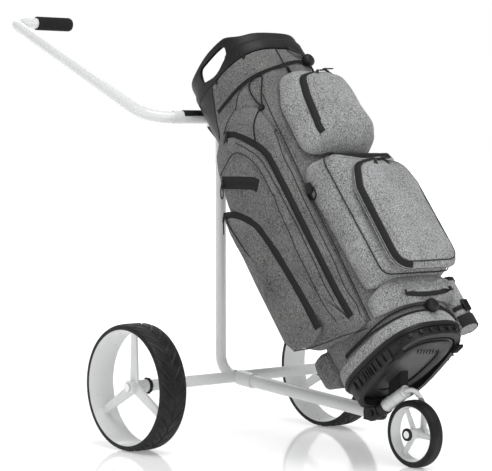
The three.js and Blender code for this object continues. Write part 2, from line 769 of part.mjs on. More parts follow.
function baseFoot(x, side) {
  const bottom = baseBottomAt(x);
  const outline = rounded([[x - 14, bottom - 7, 4], [x + 14, bottom - 7, 4], [x + 14, bottom, 2], [x - 14, bottom, 2]], 2);
  const y0 = side > 0 ? 82 : -96;
  const above = plateXZ([
    new THREE.Vector2(x - 40, baseBottomAt(x - 40) - GAP),
    new THREE.Vector2(x + 40, baseBottomAt(x + 40) - GAP),
    new THREE.Vector2(x + 40, 60),
    new THREE.Vector2(x - 40, 60),
  ], -150, 150);
  return cut(plateXZ(outline, y0, y0 + 14), above);
}

// The cart's rubber rest stands on the front tube and carries the base panel.
function baseRest() {
  const outline = rounded([[512, 140, 3], [548, 160, 3], [548, 230, 3], [512, 230, 3]], 2);
  const block = plateXZ(outline, -11, 11);
  const tube = rod(frontPoint(0), frontPoint(200), FRONT_TUBE_RADIUS + GAP, 20);
  const bag = inWorld(box(-300, 300, -100, 100, -BASE_RECESS - PANEL_THICKNESS - GAP, 300));
  const below = plateXZ([
    new THREE.Vector2(400, 0),
    new THREE.Vector2(700, 0),
    new THREE.Vector2(700, frontPoint((700 - PIVOT_X) / Math.cos(frontSlope)).z),
    new THREE.Vector2(400, frontPoint((400 - PIVOT_X) / Math.cos(frontSlope)).z),
  ], -60, 60);
  return cut(block, tube, bag, below);
}

// ---------------------------------------------------------------- club dividers
const DIVIDER_TOP = BODY_HEIGHT - 6;
const DIVIDER_DEPTH = 24;
const DIVIDER_HALF = 5;
const dividerRows = [-66, -4, 54];

function dividerRoom() {
  return sectionSolid(DIVIDER_TOP - DIVIDER_DEPTH - 10, DIVIDER_TOP + 10, -BODY_WALL - GAP, 1);
}

// One moulded grid: three bars across and one down the middle.
function clubDivider() {
  const z0 = DIVIDER_TOP - DIVIDER_DEPTH;
  const bars = dividerRows.map((x) => box(x - DIVIDER_HALF, x + DIVIDER_HALF, -150, 150, z0, DIVIDER_TOP));
  bars.push(box(-200, 200, -DIVIDER_HALF, DIVIDER_HALF, z0, DIVIDER_TOP));
  return common(join(...bars), dividerRoom());
}

// ---------------------------------------------------------------- pockets
// Side pockets are outlined in (x, z); the same pieces are mirrored to the left side.
const SIDE_POCKET_FACE = 142; // half width of the bag over its side pockets
const SIDE_POUCH_FACE = 166; // and over the lower pouches on them

function sidePlate(outline, side, inner, outer, bevel) {
  return side > 0 ? plateXZ(outline, inner, outer, bevel) : plateXZ(outline, -outer, -inner, bevel);
}

function sidePocket(side) {
  const outline = rounded([
    [50, 46, 14],
    [50, 560, 120],
    [-52, 648, 60],
    [-118, 610, 40],
    [-160, 520, 60],
    [-162, 126, 60],
    [-60, 80, 40],
  ]);
  return cut(sidePlate(outline, side, 72, SIDE_POCKET_FACE, 12), bodyRoom());
}

function sidePouch(side) {
  const outline = rounded([
    [-38, 92, 20],
    [-46, 300, 200],
    [-66, 440, 60],
    [-152, 486, 14],
    [-154, 136, 50],
  ]);
  return sidePlate(outline, side, SIDE_POCKET_FACE + GAP, SIDE_POUCH_FACE, 10);
}

const UPPER_POUCH_FACE = 190;
const LOWER_POCKET_FACE = 172;
const BALL_POCKET_FACE = 208;
const SLOT_POCKET_FACE = 152;
const LOWER_POCKET_HALF = 104;
const FRONT_CENTRE = 3;

function frontPocket(outline, face, bevel) {
  return cut(plateYZ(outline, 60, face, bevel), bodyRoom());
}

function upperPouch() {
  const half = 88;
  const outline = rounded([
    [FRONT_CENTRE - half, 452, 30],
    [FRONT_CENTRE + half, 452, 30],
    [FRONT_CENTRE + half - 2, 668, 58],
    [FRONT_CENTRE - half + 6, 668, 58],
  ]);
  return frontPocket(outline, UPPER_POUCH_FACE, 26);
}

function lowerPocket() {
  const half = LOWER_POCKET_HALF;
  const outline = rounded([
    [FRONT_CENTRE - half + 10, 112, 24],
    [FRONT_CENTRE + half - 10, 112, 24],
    [FRONT_CENTRE + half, 434, 30],
    [FRONT_CENTRE - half, 434, 30],
  ]);
  return frontPocket(outline, LOWER_POCKET_FACE, 20);
}

function ballPocket() {
  const half = 92;
  const outline = rounded([
    [FRONT_CENTRE - half + 6, 104, 22],
    [FRONT_CENTRE + half, 104, 22],
    [FRONT_CENTRE + half, 384, 54],
    [FRONT_CENTRE - half + 6, 384, 54],
  ]);
  return plateYZ(outline, LOWER_POCKET_FACE + GAP, BALL_POCKET_FACE, 14);
}

function slotPocket() {
  const outline = rounded([[-70, 56, 10], [70, 56, 10], [78, 108, 22], [-78, 108, 22]]);
  return frontPocket(outline, SLOT_POCKET_FACE, 8);
}

// A short padded bolster closes the back of the bag just above its base.
function backBolster() {
  const outline = rounded([[-100, 12, 16], [100, 12, 16], [100, 96, 16], [-100, 96, 16]]);
  const block = plateYZ(outline, -160, -70, 14);
  return cut(block, bodyRoom(), ...[-1, 1].map((side) => growPocket(side)));
}

function growPocket(side) {
  const inner = 72 - GAP;
  const outline = rounded([[52, 44, 10], [52, 300], [-164, 300], [-164, 125, 60], [-60, 79, 40]]);
  return sidePlate(outline, side, inner - 2, SIDE_POCKET_FACE + 2, 0);
}

const UMBRELLA_X = 110;
const UMBRELLA_Y = 104;
const UMBRELLA_RADIUS = 25;

// The umbrella cup stands at the front left corner, above the base.
function umbrellaCup() {
  const outer = rod(vec(UMBRELLA_X, UMBRELLA_Y, -16), vec(UMBRELLA_X, UMBRELLA_Y, 108), UMBRELLA_RADIUS);
  const inner = rod(vec(UMBRELLA_X + 4, UMBRELLA_Y + 4, -6), vec(UMBRELLA_X + 4, UMBRELLA_Y + 4, 120), 15, 20);
  const lipRoom = sectionSolid(-60, GAP, BASE_LIP + GAP, 1);
  return cut(outer, inner, bodyRoom(), lipRoom);
}

function umbrellaBuckle() {
  const x = UMBRELLA_X + UMBRELLA_RADIUS + GAP;
  const outline = rounded([[UMBRELLA_Y - 9, 18, 3], [UMBRELLA_Y + 9, 18, 3], [UMBRELLA_Y + 9, 46, 3], [UMBRELLA_Y - 9, 46, 3]], 2);
  return plateYZ(outline, x, x + 6, 1.5, 1);
}

// ---------------------------------------------------------------- elastic cords on the bag
const CORD_STAND_OFF = BUNGEE_RADIUS / 2 + GAP; // from the fabric to the middle of a flat double cord
const UPPER_KNOB_Y = 46;
const KNOB_RISE = 22;
const KNOB_RADIUS = 16;

function bungeePath(startAngle, endAngle, heightAt, steps) {
  const points = [];
  for (let i = 0; i <= steps; i += 1) {
    const angle = THREE.MathUtils.lerp(startAngle, endAngle, i / steps);
    const flat = sectionPoint(angle, UPPER_BUNGEE_Z, CORD_STAND_OFF);
    points.push(sectionPoint(angle, heightAt(flat), CORD_STAND_OFF + 0.4));
  }
  return new THREE.CatmullRomCurve3(points);
}

function upperHeight(flat) {
  const reach = THREE.MathUtils.clamp((flat.y - UPPER_KNOB_Y) / 130, -1, 1);
  return UPPER_BUNGEE_Z + KNOB_RISE * Math.cos((reach * Math.PI) / 2) ** 2;
}

function lowerHeight(flat) {
  const fall = THREE.MathUtils.smoothstep(flat.y, 20, 75);
  const dip = THREE.MathUtils.smoothstep(-flat.x, 30, 90);
  return LOWER_BUNGEE_Z + 3 - 22 * fall - 8 * dip;
}

const upperBungeePath = bungeePath(radians(-98), radians(98), upperHeight, 36);
const lowerBungeePath = bungeePath(radians(-110), radians(37), lowerHeight, 32);
const BUNGEE_STEPS = 30;

// Two cords lie side by side: their common outline is a flat oval.
function bungee(path, grow = 0) {
  const outline = circle(1, 6).map((point) => (
    new THREE.Vector2(point.x * (BUNGEE_RADIUS * 1.15 + grow), point.y * (BUNGEE_RADIUS / 2 + grow))
  ));
  return new THREE.ExtrudeGeometry(new THREE.Shape(outline), {
    steps: BUNGEE_STEPS,
    bevelEnabled: false,
    extrudePath: path,
  });
}

function knob(centre, path) {
  const ball = new THREE.SphereGeometry(KNOB_RADIUS, 16, 10);
  place(ball, centre.x, centre.y, centre.z);
  return cut(ball, bungee(path, GAP), bodyRoom());
}

// ---------------------------------------------------------------- small fittings on the bag
const D_RING_X = 82;
const D_RING_Z = 380;
const D_RING_HALF = 11;
const D_RING_DROP = 20;
const D_RING_WIRE = 2;
const TAB_HALF = 7.5;
const TAB_STAND_OFF = 3;

// Each D-ring turns on its straight bar in a webbing tab sewn to the side of the lower front pocket.
function ringPlace(side) {
  const stand = LOWER_POCKET_HALF + D_RING_WIRE + TAB_STAND_OFF;
  return vec(D_RING_X, FRONT_CENTRE + side * stand, D_RING_Z);
}

function dRing() {
  const low = -D_RING_DROP;
  const bow = new BentPath(
    [vec(-D_RING_HALF, 0, 0), vec(-D_RING_HALF, 0, low), vec(D_RING_HALF, 0, low), vec(D_RING_HALF, 0, 0)],
    [D_RING_HALF - 1, D_RING_HALF - 1],
    4,
  );
  const straight = rod(vec(-D_RING_HALF - D_RING_WIRE, 0, 0), vec(D_RING_HALF + D_RING_WIRE, 0, 0), D_RING_WIRE, 12);
  return join(bar(bow, D_RING_WIRE, 8), straight);
}

function dRingTab() {
  const tab = box(-TAB_HALF, TAB_HALF, -TAB_STAND_OFF - 1, TAB_STAND_OFF + 1, -TAB_STAND_OFF - 1, 18);
  return cut(tab, rod(vec(-20, 0, 0), vec(20, 0, 0), D_RING_WIRE + GAP, 12));
}

const LOOP_Y = 46;
const LOOP_Z = BODY_HEIGHT - 4;

// A short webbing loop hangs on the front of the bag under its collar.
function frontLoop() {
  const loop = new THREE.TorusGeometry(1, 0.13, 6, 20);
  loop.scale(30, 14, 22);
  loop.applyMatrix4(new THREE.Matrix4().makeBasis(Y_AXIS, Z_AXIS, X_AXIS));
  const point = sectionPoint(radians(24), LOOP_Z, 0);
  loop.rotateZ(radians(14));
  place(loop, point.x + 6, LOOP_Y, LOOP_Z);
  return cut(loop, bodyRoom(), sectionSolid(BODY_HEIGHT - GAP, BODY_HEIGHT + 60, COLLAR_PROUD + GAP, 1));
}

// The rain hood's draw cord: a loop, a lock on it and a tail down to the side pocket's zip.
const lockPoint = sectionPoint(radians(-62), 622, 4.6);
const LOCK_HALF = 5;
const CORD_RADIUS = 1.4;

function drawCord(radius) {
  const loopEnd = sectionPoint(radians(-61), 640, 3.2);
  const loopLow = sectionPoint(radians(-60), 652, 3.2);
  const left = sectionPoint(radians(-59), 688, 3.2);
  const top = sectionPoint(radians(-46), 692, 3.2);
  const loopSide = sectionPoint(radians(-51), 650, 3.2);
  const middle = sectionPoint(radians(-66), 590, 3.6);
  const tail = sectionPoint(radians(-71), 545, 3.2);
  const line = new THREE.CatmullRomCurve3([loopEnd, loopLow, left, top, loopSide, lockPoint, middle, tail], false);
  return new THREE.ExtrudeGeometry(
    new THREE.Shape(circle(radius, 6)),
    { steps: 56, bevelEnabled: false, extrudePath: line },
  );
}

function cordLock() {
  const lock = new THREE.CylinderGeometry(7.5, 7.5, 2 * LOCK_HALF, 16);
  lock.rotateX(Math.PI / 2);
  place(lock, lockPoint.x, lockPoint.y, lockPoint.z);
  return cut(lock, drawCord(CORD_RADIUS + GAP), bodyRoom());
}

// ---------------------------------------------------------------- bag bracket on the mast
const BRACKET_HALF = 43;
const BRACKET_EAR = 9;
const BRACKET_BOLT_X = -47;
const BRACKET_BOLT_Z = 731;
const BRACKET_TIP_X = -4;
const BRACKET_TIP_Z = 696;
const BRACKET_BOLT_RADIUS = 4;

function bagBracket() {
  const outline = rounded([
    [BRACKET_BOLT_X - BRACKET_EAR, BRACKET_BOLT_Z + BRACKET_EAR - 2, BRACKET_EAR],
    [BRACKET_BOLT_X - BRACKET_EAR, BRACKET_BOLT_Z - BRACKET_EAR, BRACKET_EAR],
    [BRACKET_TIP_X - 14, BRACKET_TIP_Z - 5, 3],
    [BRACKET_TIP_X + 40, BRACKET_TIP_Z - 5, 3],
    [BRACKET_TIP_X + 8, BRACKET_BOLT_Z + BRACKET_EAR - 2, 3],
  ]);
  const block = plateXZ(outline, -BRACKET_HALF, BRACKET_HALF);
  const mastRoom = bar(mastPath, MAST_RADIUS + GAP, 20);
  const sleeveRoom = rod(headPoint(10), headPoint(130), SLEEVE_RADIUS + GAP, 20);
  const bagRoom = inWorld(sectionSolid(200, BODY_HEIGHT + 80, COLLAR_PROUD + GAP, 1));
  const bolts = crossRod(BRACKET_BOLT_X, BRACKET_BOLT_Z, -80, 80, BRACKET_BOLT_RADIUS + GAP, 12);
  return cut(block, mastRoom, sleeveRoom, bagRoom, bolts);
}

function bracketBolt(side) {
  const inside = side * (BRACKET_HALF - 16);
  const face = side * (BRACKET_HALF + GAP);
  const shaft = crossRod(BRACKET_BOLT_X, BRACKET_BOLT_Z, inside, face, BRACKET_BOLT_RADIUS, 12);
  const head = crossRod(BRACKET_BOLT_X, BRACKET_BOLT_Z, face, side * (BRACKET_HALF + 4), 6.5);
  return join(shaft, head);
}

// ---------------------------------------------------------------- assembly
const assembly = new THREE.Group();
const bag = new THREE.Group();
bag.position.set(BAG_X, 0, BAG_Z);
bag.rotation.y = -leanAngle;
assembly.add(bag);

const SIDES = [[-1, 'right'], [1, 'left']];

// The cart
assembly.add(
  piece('axle_tube', WHITE_PAINT, axleTube()),
  piece('mast_tube', WHITE_PAINT, mast()),
  piece('lower_beam', WHITE_PAINT, beam()),
  piece('beam_socket', WHITE_PAINT, beamSocket()),
  piece('fold_yoke', BLACK_PLASTIC, foldYoke()),
  piece('fold_tongue', BLACK_PLASTIC, foldTongue()),
  piece('fold_pin', STEEL, foldPin()),
  piece('front_tube', WHITE_PAINT, frontTube()),
  piece('front_fork', WHITE_PAINT, forkLeg()),
  piece('front_axle_pin', STEEL, frontAxlePin()),
  piece('base_rest', BLACK_RUBBER, baseRest()),
  piece('handle_tube', WHITE_PAINT, handleTube()),
  piece('handle_spigot', STEEL, handleSpigot()),
  piece('cross_sleeve', WHITE_PAINT, jointSleeve(26, RING_REACH - 2.5, SLEEVE_RADIUS)),
  piece('joint_ring', WHITE_PAINT, jointSleeve(RING_REACH - 2.5 + GAP, RING_REACH + 2, SLEEVE_RADIUS + 0.6)),
  piece('rest_pad', BLACK_RUBBER, restPad()),
  piece('grip', BLACK_RUBBER, grip()),
  piece('bag_bracket', BLACK_PLASTIC, bagBracket()),
);

for (const [side, name] of SIDES) {
  assembly.add(
    piece(`axle_pin_${name}`, STEEL, axlePin(side)),
    piece(`axle_spacer_${name}`, BLACK_PLASTIC, axleSpacer(side)),
    piece(`bracket_bolt_${name}`, STEEL, bracketBolt(side)),
  );
  const wheel = new THREE.Group();
  wheel.position.set(0, (side * TRACK) / 2, REAR_RADIUS);
  if (side > 0) wheel.rotation.z = Math.PI;
  wheel.add(piece(`rear_rim_${name}`, WHITE_PAINT, rearRim()));
  wheel.add(piece(`rear_tyre_${name}`, BLACK_RUBBER, rearTyre()));
  assembly.add(wheel);
}

const frontWheel = new THREE.Group();
frontWheel.position.set(FRONT_X, FRONT_Y, FRONT_RADIUS);
frontWheel.add(piece('front_rim', WHITE_PAINT, frontRim()));
frontWheel.add(piece('front_tyre', BLACK_RUBBER, frontTyre()));
assembly.add(frontWheel);

// The bag
bag.add(
  piece('bag_body', GREY_FABRIC, bagBody()),
  piece('bag_collar', BLACK_PLASTIC, collar()),
  piece('club_divider', BLACK_PLASTIC, clubDivider()),
  piece('back_saddle', BLACK_PLASTIC, backSaddle()),
  piece('bag_base', BLACK_PLASTIC, bagBase()),
  piece('base_panel', GREY_PLASTIC, basePanel()),
  piece('upper_pouch', LIGHT_FABRIC, upperPouch()),
  piece('lower_pocket', LIGHT_FABRIC, lowerPocket()),
  piece('ball_pocket', LIGHT_FABRIC, ballPocket()),
  piece('slot_pocket', LIGHT_FABRIC, slotPocket()),
  piece('back_bolster', GREY_FABRIC, backBolster()),
  piece('umbrella_cup', GREY_FABRIC, umbrellaCup()),
  piece('umbrella_buckle', STEEL, umbrellaBuckle()),
  piece('upper_bungee', BLACK_CORD, bungee(upperBungeePath)),
  piece('lower_bungee', BLACK_CORD, bungee(lowerBungeePath)),
  piece('upper_knob', BLACK_PLASTIC, knob(sectionPoint(radians(24), UPPER_BUNGEE_Z + KNOB_RISE, 6), upperBungeePath)),
  piece('lower_knob', BLACK_PLASTIC, knob(sectionPoint(0, LOWER_BUNGEE_Z + 3, 6), lowerBungeePath)),
  piece('front_loop', BLACK_CORD, frontLoop()),
  piece('draw_cord', BLACK_CORD, drawCord(CORD_RADIUS)),
  piece('cord_lock', BLACK_PLASTIC, cordLock()),
);

for (const [side, name] of SIDES) {
  bag.add(
    piece(`side_pocket_${name}`, GREY_FABRIC, sidePocket(side)),
    piece(`side_pouch_${name}`, GREY_FABRIC, sidePouch(side)),
    piece(`base_foot_${name}`, BLACK_RUBBER, baseFoot(72, side)),
  );
  const ring = piece(`d_ring_${name}`, STEEL, dRing());
  const tab = piece(`d_ring_tab_${name}`, BLACK_CORD, dRingTab());
  ring.position.copy(ringPlace(side));
  tab.position.copy(ringPlace(side));
  bag.add(ring, tab);
}

// The origin is on the floor under the middle of the whole cart.
assembly.updateMatrixWorld(true);
const extent = new THREE.Box3().setFromObject(assembly, true);
const middle = extent.getCenter(new THREE.Vector3());
assembly.position.set(-middle.x, -middle.y, -extent.min.z);

const cartWithBag = new THREE.Group();
cartWithBag.add(assembly);

export default cartWithBag;
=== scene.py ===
"""A padded golf bag on a folding push cart, built round the cart's fixed frame."""
import math

import bpy
import bmesh
from mathutils import Matrix, Vector, noise
from mathutils.bvhtree import BVHTree


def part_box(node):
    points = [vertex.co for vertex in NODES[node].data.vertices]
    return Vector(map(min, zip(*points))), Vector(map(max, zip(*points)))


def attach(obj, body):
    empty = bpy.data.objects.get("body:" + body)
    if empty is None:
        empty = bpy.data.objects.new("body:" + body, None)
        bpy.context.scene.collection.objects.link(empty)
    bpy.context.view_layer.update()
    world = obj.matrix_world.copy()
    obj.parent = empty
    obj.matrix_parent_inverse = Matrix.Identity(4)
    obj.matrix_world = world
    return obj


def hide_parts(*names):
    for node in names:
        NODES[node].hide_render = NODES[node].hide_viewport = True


bl_info = {
    "name": "Golf bag on push cart",
    "version": (1, 0, 0),
    "blender": (4, 5, 0),
    "location": "3D View > Sidebar > Golf cart",
    "description": "Builds a padded golf bag on a folding push cart round its fixed frame",
    "category": "Add Mesh",
}

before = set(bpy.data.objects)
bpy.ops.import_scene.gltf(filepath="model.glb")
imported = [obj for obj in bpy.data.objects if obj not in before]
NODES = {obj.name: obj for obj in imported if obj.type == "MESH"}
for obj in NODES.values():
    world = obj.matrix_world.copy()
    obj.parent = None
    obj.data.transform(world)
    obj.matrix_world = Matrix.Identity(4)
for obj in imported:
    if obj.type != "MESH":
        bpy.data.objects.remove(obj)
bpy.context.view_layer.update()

# ------------------------------------------------------------------ the bag's own frame
MM = 0.001
LEAN = math.radians(38)
W_AXIS = Vector((math.cos(LEAN), 0.0, math.sin(LEAN)))
S_AXIS = Vector((-math.sin(LEAN), 0.0, math.cos(LEAN)))
BAG_FOOT = Vector((0.586002, 0.0, 0.233695))
BODY_HEIGHT = 760.0
ROUNDNESS = 2.9
BASE_DEPTH, DEPTH_LOSS = 132.0, 10.0  # half size from back to front at the foot, and what it loses upwards
BASE_WIDTH, WIDTH_GAIN = 105.0, 7.0  # half size across at the foot, and what it gains upwards
AXIS_SHIFT = 15.0
BAG_LIE = (0, -LEAN, 0)
UP, LEFT = Vector((0, 0, 1)), Vector((0, 1, 0))
SIDES = ((-1, "right"), (1, "left"))
CART, HANDLE, FRONT_UNIT = "cart", "handle", "front_unit"


def bag(w, y, s):
    """A point given forwards, leftwards and up along the bag, in mm, as a place in the row frame."""
    return BAG_FOOT + (W_AXIS * w + S_AXIS * s) * MM + Vector((0, y * MM, 0))


def section(s):
    """Shift forwards, half depth and half width of the bag at a height along it."""
    share = s / BODY_HEIGHT
    return -AXIS_SHIFT * share, BASE_DEPTH - DEPTH_LOSS * share, BASE_WIDTH + WIDTH_GAIN * share


def around(turn, s, offset=0.0):
    """A point of the bag's outline: turn 0 is the front, 90 degrees the left."""
    shift, depth, width = section(s)
    c, d = math.cos(turn), math.sin(turn)
    reach = (abs(c / (depth + offset)) ** ROUNDNESS + abs(d / (width + offset)) ** ROUNDNESS)
    reach **= -1 / ROUNDNESS
    return shift + reach * c, reach * d


def side_of_body(w, s):
    """Half width of the bag's body at a place on its side."""
    shift, depth, width = section(s)
    share = min(1.0, abs((w - shift) / depth))
    return width * max(0.0, 1 - share ** ROUNDNESS) ** (1 / ROUNDNESS)


def front_of_body(y, s):
    """How far forward the bag's body reaches at a place on its front."""
    shift, depth, width = section(s)
    share = min(1.0, abs(y / width))
    return shift + depth * max(0.0, 1 - share ** ROUNDNESS) ** (1 / ROUNDNESS)


def smooth(value, low, high):
    t = min(1.0, max(0.0, (value - low) / (high - low)))
    return t * t * (3 - 2 * t)


def blend_value(a, b, t):
    return a + (b - a) * t


# ------------------------------------------------------------------ materials
class Nodes:
    """A short way to write a material's node tree."""

    def __init__(self, name):
        self.material = bpy.data.materials.new(name)
        self.material.use_nodes = True
        self.tree = self.material.node_tree
        self.shader = self.tree.nodes["Principled BSDF"]
        self.place = self.add("ShaderNodeTexCoord").outputs["Object"]

    def add(self, kind, **values):
        node = self.tree.nodes.new(kind)
        for key, value in values.items():
            setattr(node, key, value)
        return node

    def link(self, source, target):
        self.tree.links.new(source, target)

    def stretched(self, scale, turn=(0, 0, 0)):
        node = self.add("ShaderNodeMapping")
        node.inputs["Scale"].default_value = scale
        node.inputs["Rotation"].default_value = turn
        self.link(self.place, node.inputs["Vector"])
        return node.outputs["Vector"]

    def noise(self, scale, detail=2.0, source=None, rough=0.5):
        node = self.add("ShaderNodeTexNoise")
        node.inputs["Scale"].default_value = scale
        node.inputs["Detail"].default_value = detail
        node.inputs["Roughness"].default_value = rough
        self.link(source or self.place, node.inputs["Vector"])
        return node.outputs["Fac"]

    def wave(self, scale, source=None, direction="X"):
        node = self.add("ShaderNodeTexWave", wave_type="BANDS", bands_direction=direction)
        node.inputs["Scale"].default_value = scale
        self.link(source or self.place, node.inputs["Vector"])
        return node.outputs["Fac"]

    def math(self, operation, a, b):
        node = self.add("ShaderNodeMath", operation=operation)
        for socket, value in zip(node.inputs, (a, b)):
            if isinstance(value, (int, float)):
                socket.default_value = value
            else:
                self.link(value, socket)
        return node.outputs[0]

    def ramp(self, source, *stops):
        node = self.add("ShaderNodeValToRGB")
        line = node.color_ramp
        while len(line.elements) < len(stops):
            line.elements.new(0.5)
        for element, (at, colour) in zip(line.elements, stops):
            element.position = at
            element.color = (*colour, 1.0)
        self.link(source, node.inputs["Fac"])
        return node.outputs["Color"]

    def bump(self, height, distance, strength=1.0):
        node = self.add("ShaderNodeBump")
        node.inputs["Distance"].default_value = distance
        node.inputs["Strength"].default_value = strength
        self.link(height, node.inputs["Height"])
        normal = self.shader.inputs["Normal"]
        if normal.is_linked:
            self.link(normal.links[0].from_socket, node.inputs["Normal"])
        self.link(node.outputs["Normal"], normal)

    def set(self, **values):
        for key, value in values.items():
            self.shader.inputs[key.replace("_", " ")].default_value = value

    def colour(self, source):
        self.link(source, self.shader.inputs["Base Color"])

    def roughness(self, source, low, high):
        node = self.add("ShaderNodeMapRange")
        node.inputs["To Min"].default_value = low
        node.inputs["To Max"].default_value = high
        self.link(source, node.inputs["Value"])
        self.link(node.outputs["Result"], self.shader.inputs["Roughness"])


def grey(value, warm=0.0):
    return (value * (1 + warm), value, value * (1 - warm))


def heather_fabric(name, dark, light):
    """Melange polyester: dark and pale yarns flecked together in a plain weave."""
    m = Nodes(name)
    flecks = m.noise(1.0, 3.0, m.stretched((820, 820, 210), BAG_LIE), 0.6)
    threads = m.noise(1.0, 2.0, m.stretched((260, 260, 900), BAG_LIE), 0.6)
    clouds = m.noise(14.0, 3.0)
    mix = m.math("ADD", m.math("MULTIPLY", flecks, 0.62), m.math("MULTIPLY", threads, 0.38))
    mix = m.math("ADD", mix, m.math("MULTIPLY", m.math("SUBTRACT", clouds, 0.5), 0.10))
    middle = tuple((a + b) / 2 for a, b in zip(dark, light))
    m.colour(m.ramp(mix, (0.40, dark), (0.49, middle), (0.585, light)))
    warp = m.wave(330.0, m.stretched((1, 1, 1), BAG_LIE), "X")
    weft = m.wave(330.0, m.stretched((1, 1, 1), BAG_LIE), "Z")
    weave = m.math("ADD", m.math("MULTIPLY", warp, weft), m.math("MULTIPLY", flecks, 0.8))
    creases = m.noise(1.0, 2.0, m.stretched((34, 34, 12), BAG_LIE), 0.45)
    m.bump(creases, 0.012, 0.35)
    m.bump(weave, 0.0005, 0.6)
    m.set(Roughness=0.95, Sheen_Weight=0.12, Sheen_Roughness=0.5, Specular_IOR_Level=0.12)
    return m.material


def paint(name, colour):
    """Sprayed gloss paint with a slight orange peel."""
    m = Nodes(name)
    m.colour(m.ramp(m.noise(9.0, 2.0), (0.35, tuple(c * 0.97 for c in colour)), (0.65, colour)))
    m.roughness(m.noise(60.0, 3.0), 0.24, 0.34)
    m.bump(m.noise(420.0, 1.0), 0.0002, 0.12)
    m.set(Coat_Weight=0.35, Coat_Roughness=0.12)
    return m.material


def moulding(name, colour, grain=900.0, low=0.38, high=0.55):
    """Moulded plastic with a fine spark-eroded grain."""
    m = Nodes(name)
    pale = tuple(c * 1.5 + 0.002 for c in colour)
    m.colour(m.ramp(m.noise(26.0, 4.0), (0.35, colour), (0.75, pale)))
    m.roughness(m.noise(70.0, 3.0), low, high)
    m.bump(m.noise(grain, 2.0), 0.0003, 0.3)
    m.set(Specular_IOR_Level=0.3)
    return m.material


def rubber(name, colour):
    m = Nodes(name)
    dust = tuple(c * 2.2 + 0.006 for c in colour)
    m.colour(m.ramp(m.noise(34.0, 5.0), (0.4, colour), (0.8, dust)))
    m.roughness(m.noise(90.0, 3.0), 0.45, 0.62)
    m.bump(m.noise(1100.0, 3.0), 0.0003, 0.3)
    m.set(Specular_IOR_Level=0.26)
    return m.material


def foam_grip(name, colour):
    m = Nodes(name)
    m.colour(m.ramp(m.noise(700.0, 3.0), (0.35, colour), (0.8, tuple(c * 2.6 for c in colour))))
    m.bump(m.noise(1500.0, 4.0), 0.0006, 0.6)
    m.set(Roughness=0.9, Specular_IOR_Level=0.15)
    return m.material


def webbing(name, colour, pitch=700.0):
    """Ribbed woven tape."""
    m = Nodes(name)
    ribs = m.wave(pitch, m.stretched((1, 1, 1), BAG_LIE), "Z")
    cross = m.wave(pitch * 0.6, m.stretched((1, 1, 1), BAG_LIE), "X")
    pattern = m.math("ADD", ribs, m.math("MULTIPLY", cross, 0.5))
    m.colour(m.ramp(pattern, (0.2, colour), (1.0, tuple(c * 2.4 + 0.004 for c in colour))))
    m.bump(pattern, 0.0004, 0.5)
    m.set(Roughness=0.85, Sheen_Weight=0.05, Specular_IOR_Level=0.12)
    return m.material


def braid(name, colour):
    """Braided elastic cord: two families of crossing yarns on the cord's own map."""
    m = Nodes(name)
    uv = m.add("ShaderNodeTexCoord").outputs["UV"]
    bands = []
    for turn in (0.78, -0.78):
        node = m.add("ShaderNodeMapping")
        node.inputs["Rotation"].default_value = (0, 0, turn)
        node.inputs["Scale"].default_value = (8, 8, 1)
        m.link(uv, node.inputs["Vector"])
        bands.append(m.wave(3.0, node.outputs["Vector"], "X"))
    yarn = m.math("MULTIPLY", bands[0], bands[1])
    m.colour(m.ramp(yarn, (0.1, colour), (0.9, tuple(c * 3.0 + 0.01 for c in colour))))
    m.bump(yarn, 0.0005, 0.5)
    m.set(Roughness=0.8, Sheen_Weight=0.05, Specular_IOR_Level=0.15)
    return m.material


def zip_tape(name, colour):
    m = Nodes(name)
    twill = m.wave(900.0, m.stretched((1, 1, 1), (0.5, -LEAN, 0.4)), "Z")
    teeth = m.wave(260.0, m.stretched((1, 1, 1), BAG_LIE), "Z")
    pattern = m.math("ADD", m.math("MULTIPLY", twill, 0.5), teeth)
    m.colour(m.ramp(pattern, (0.2, colour), (1.3 / 1.5, tuple(c * 2.0 + 0.004 for c in colour))))
    m.bump(pattern, 0.0004, 0.35)
    m.set(Roughness=0.7, Specular_IOR_Level=0.14)
    return m.material


def plated(name, colour, low=0.16, high=0.3):
    m = Nodes(name)
    m.colour(m.ramp(m.noise(40.0, 3.0), (0.3, tuple(c * 0.86 for c in colour)), (0.7, colour)))
    m.roughness(m.noise(120.0, 4.0, m.stretched((1, 6, 1))), low, high)
    m.set(Metallic=1.0)
    return m.material


LOOKS = {}


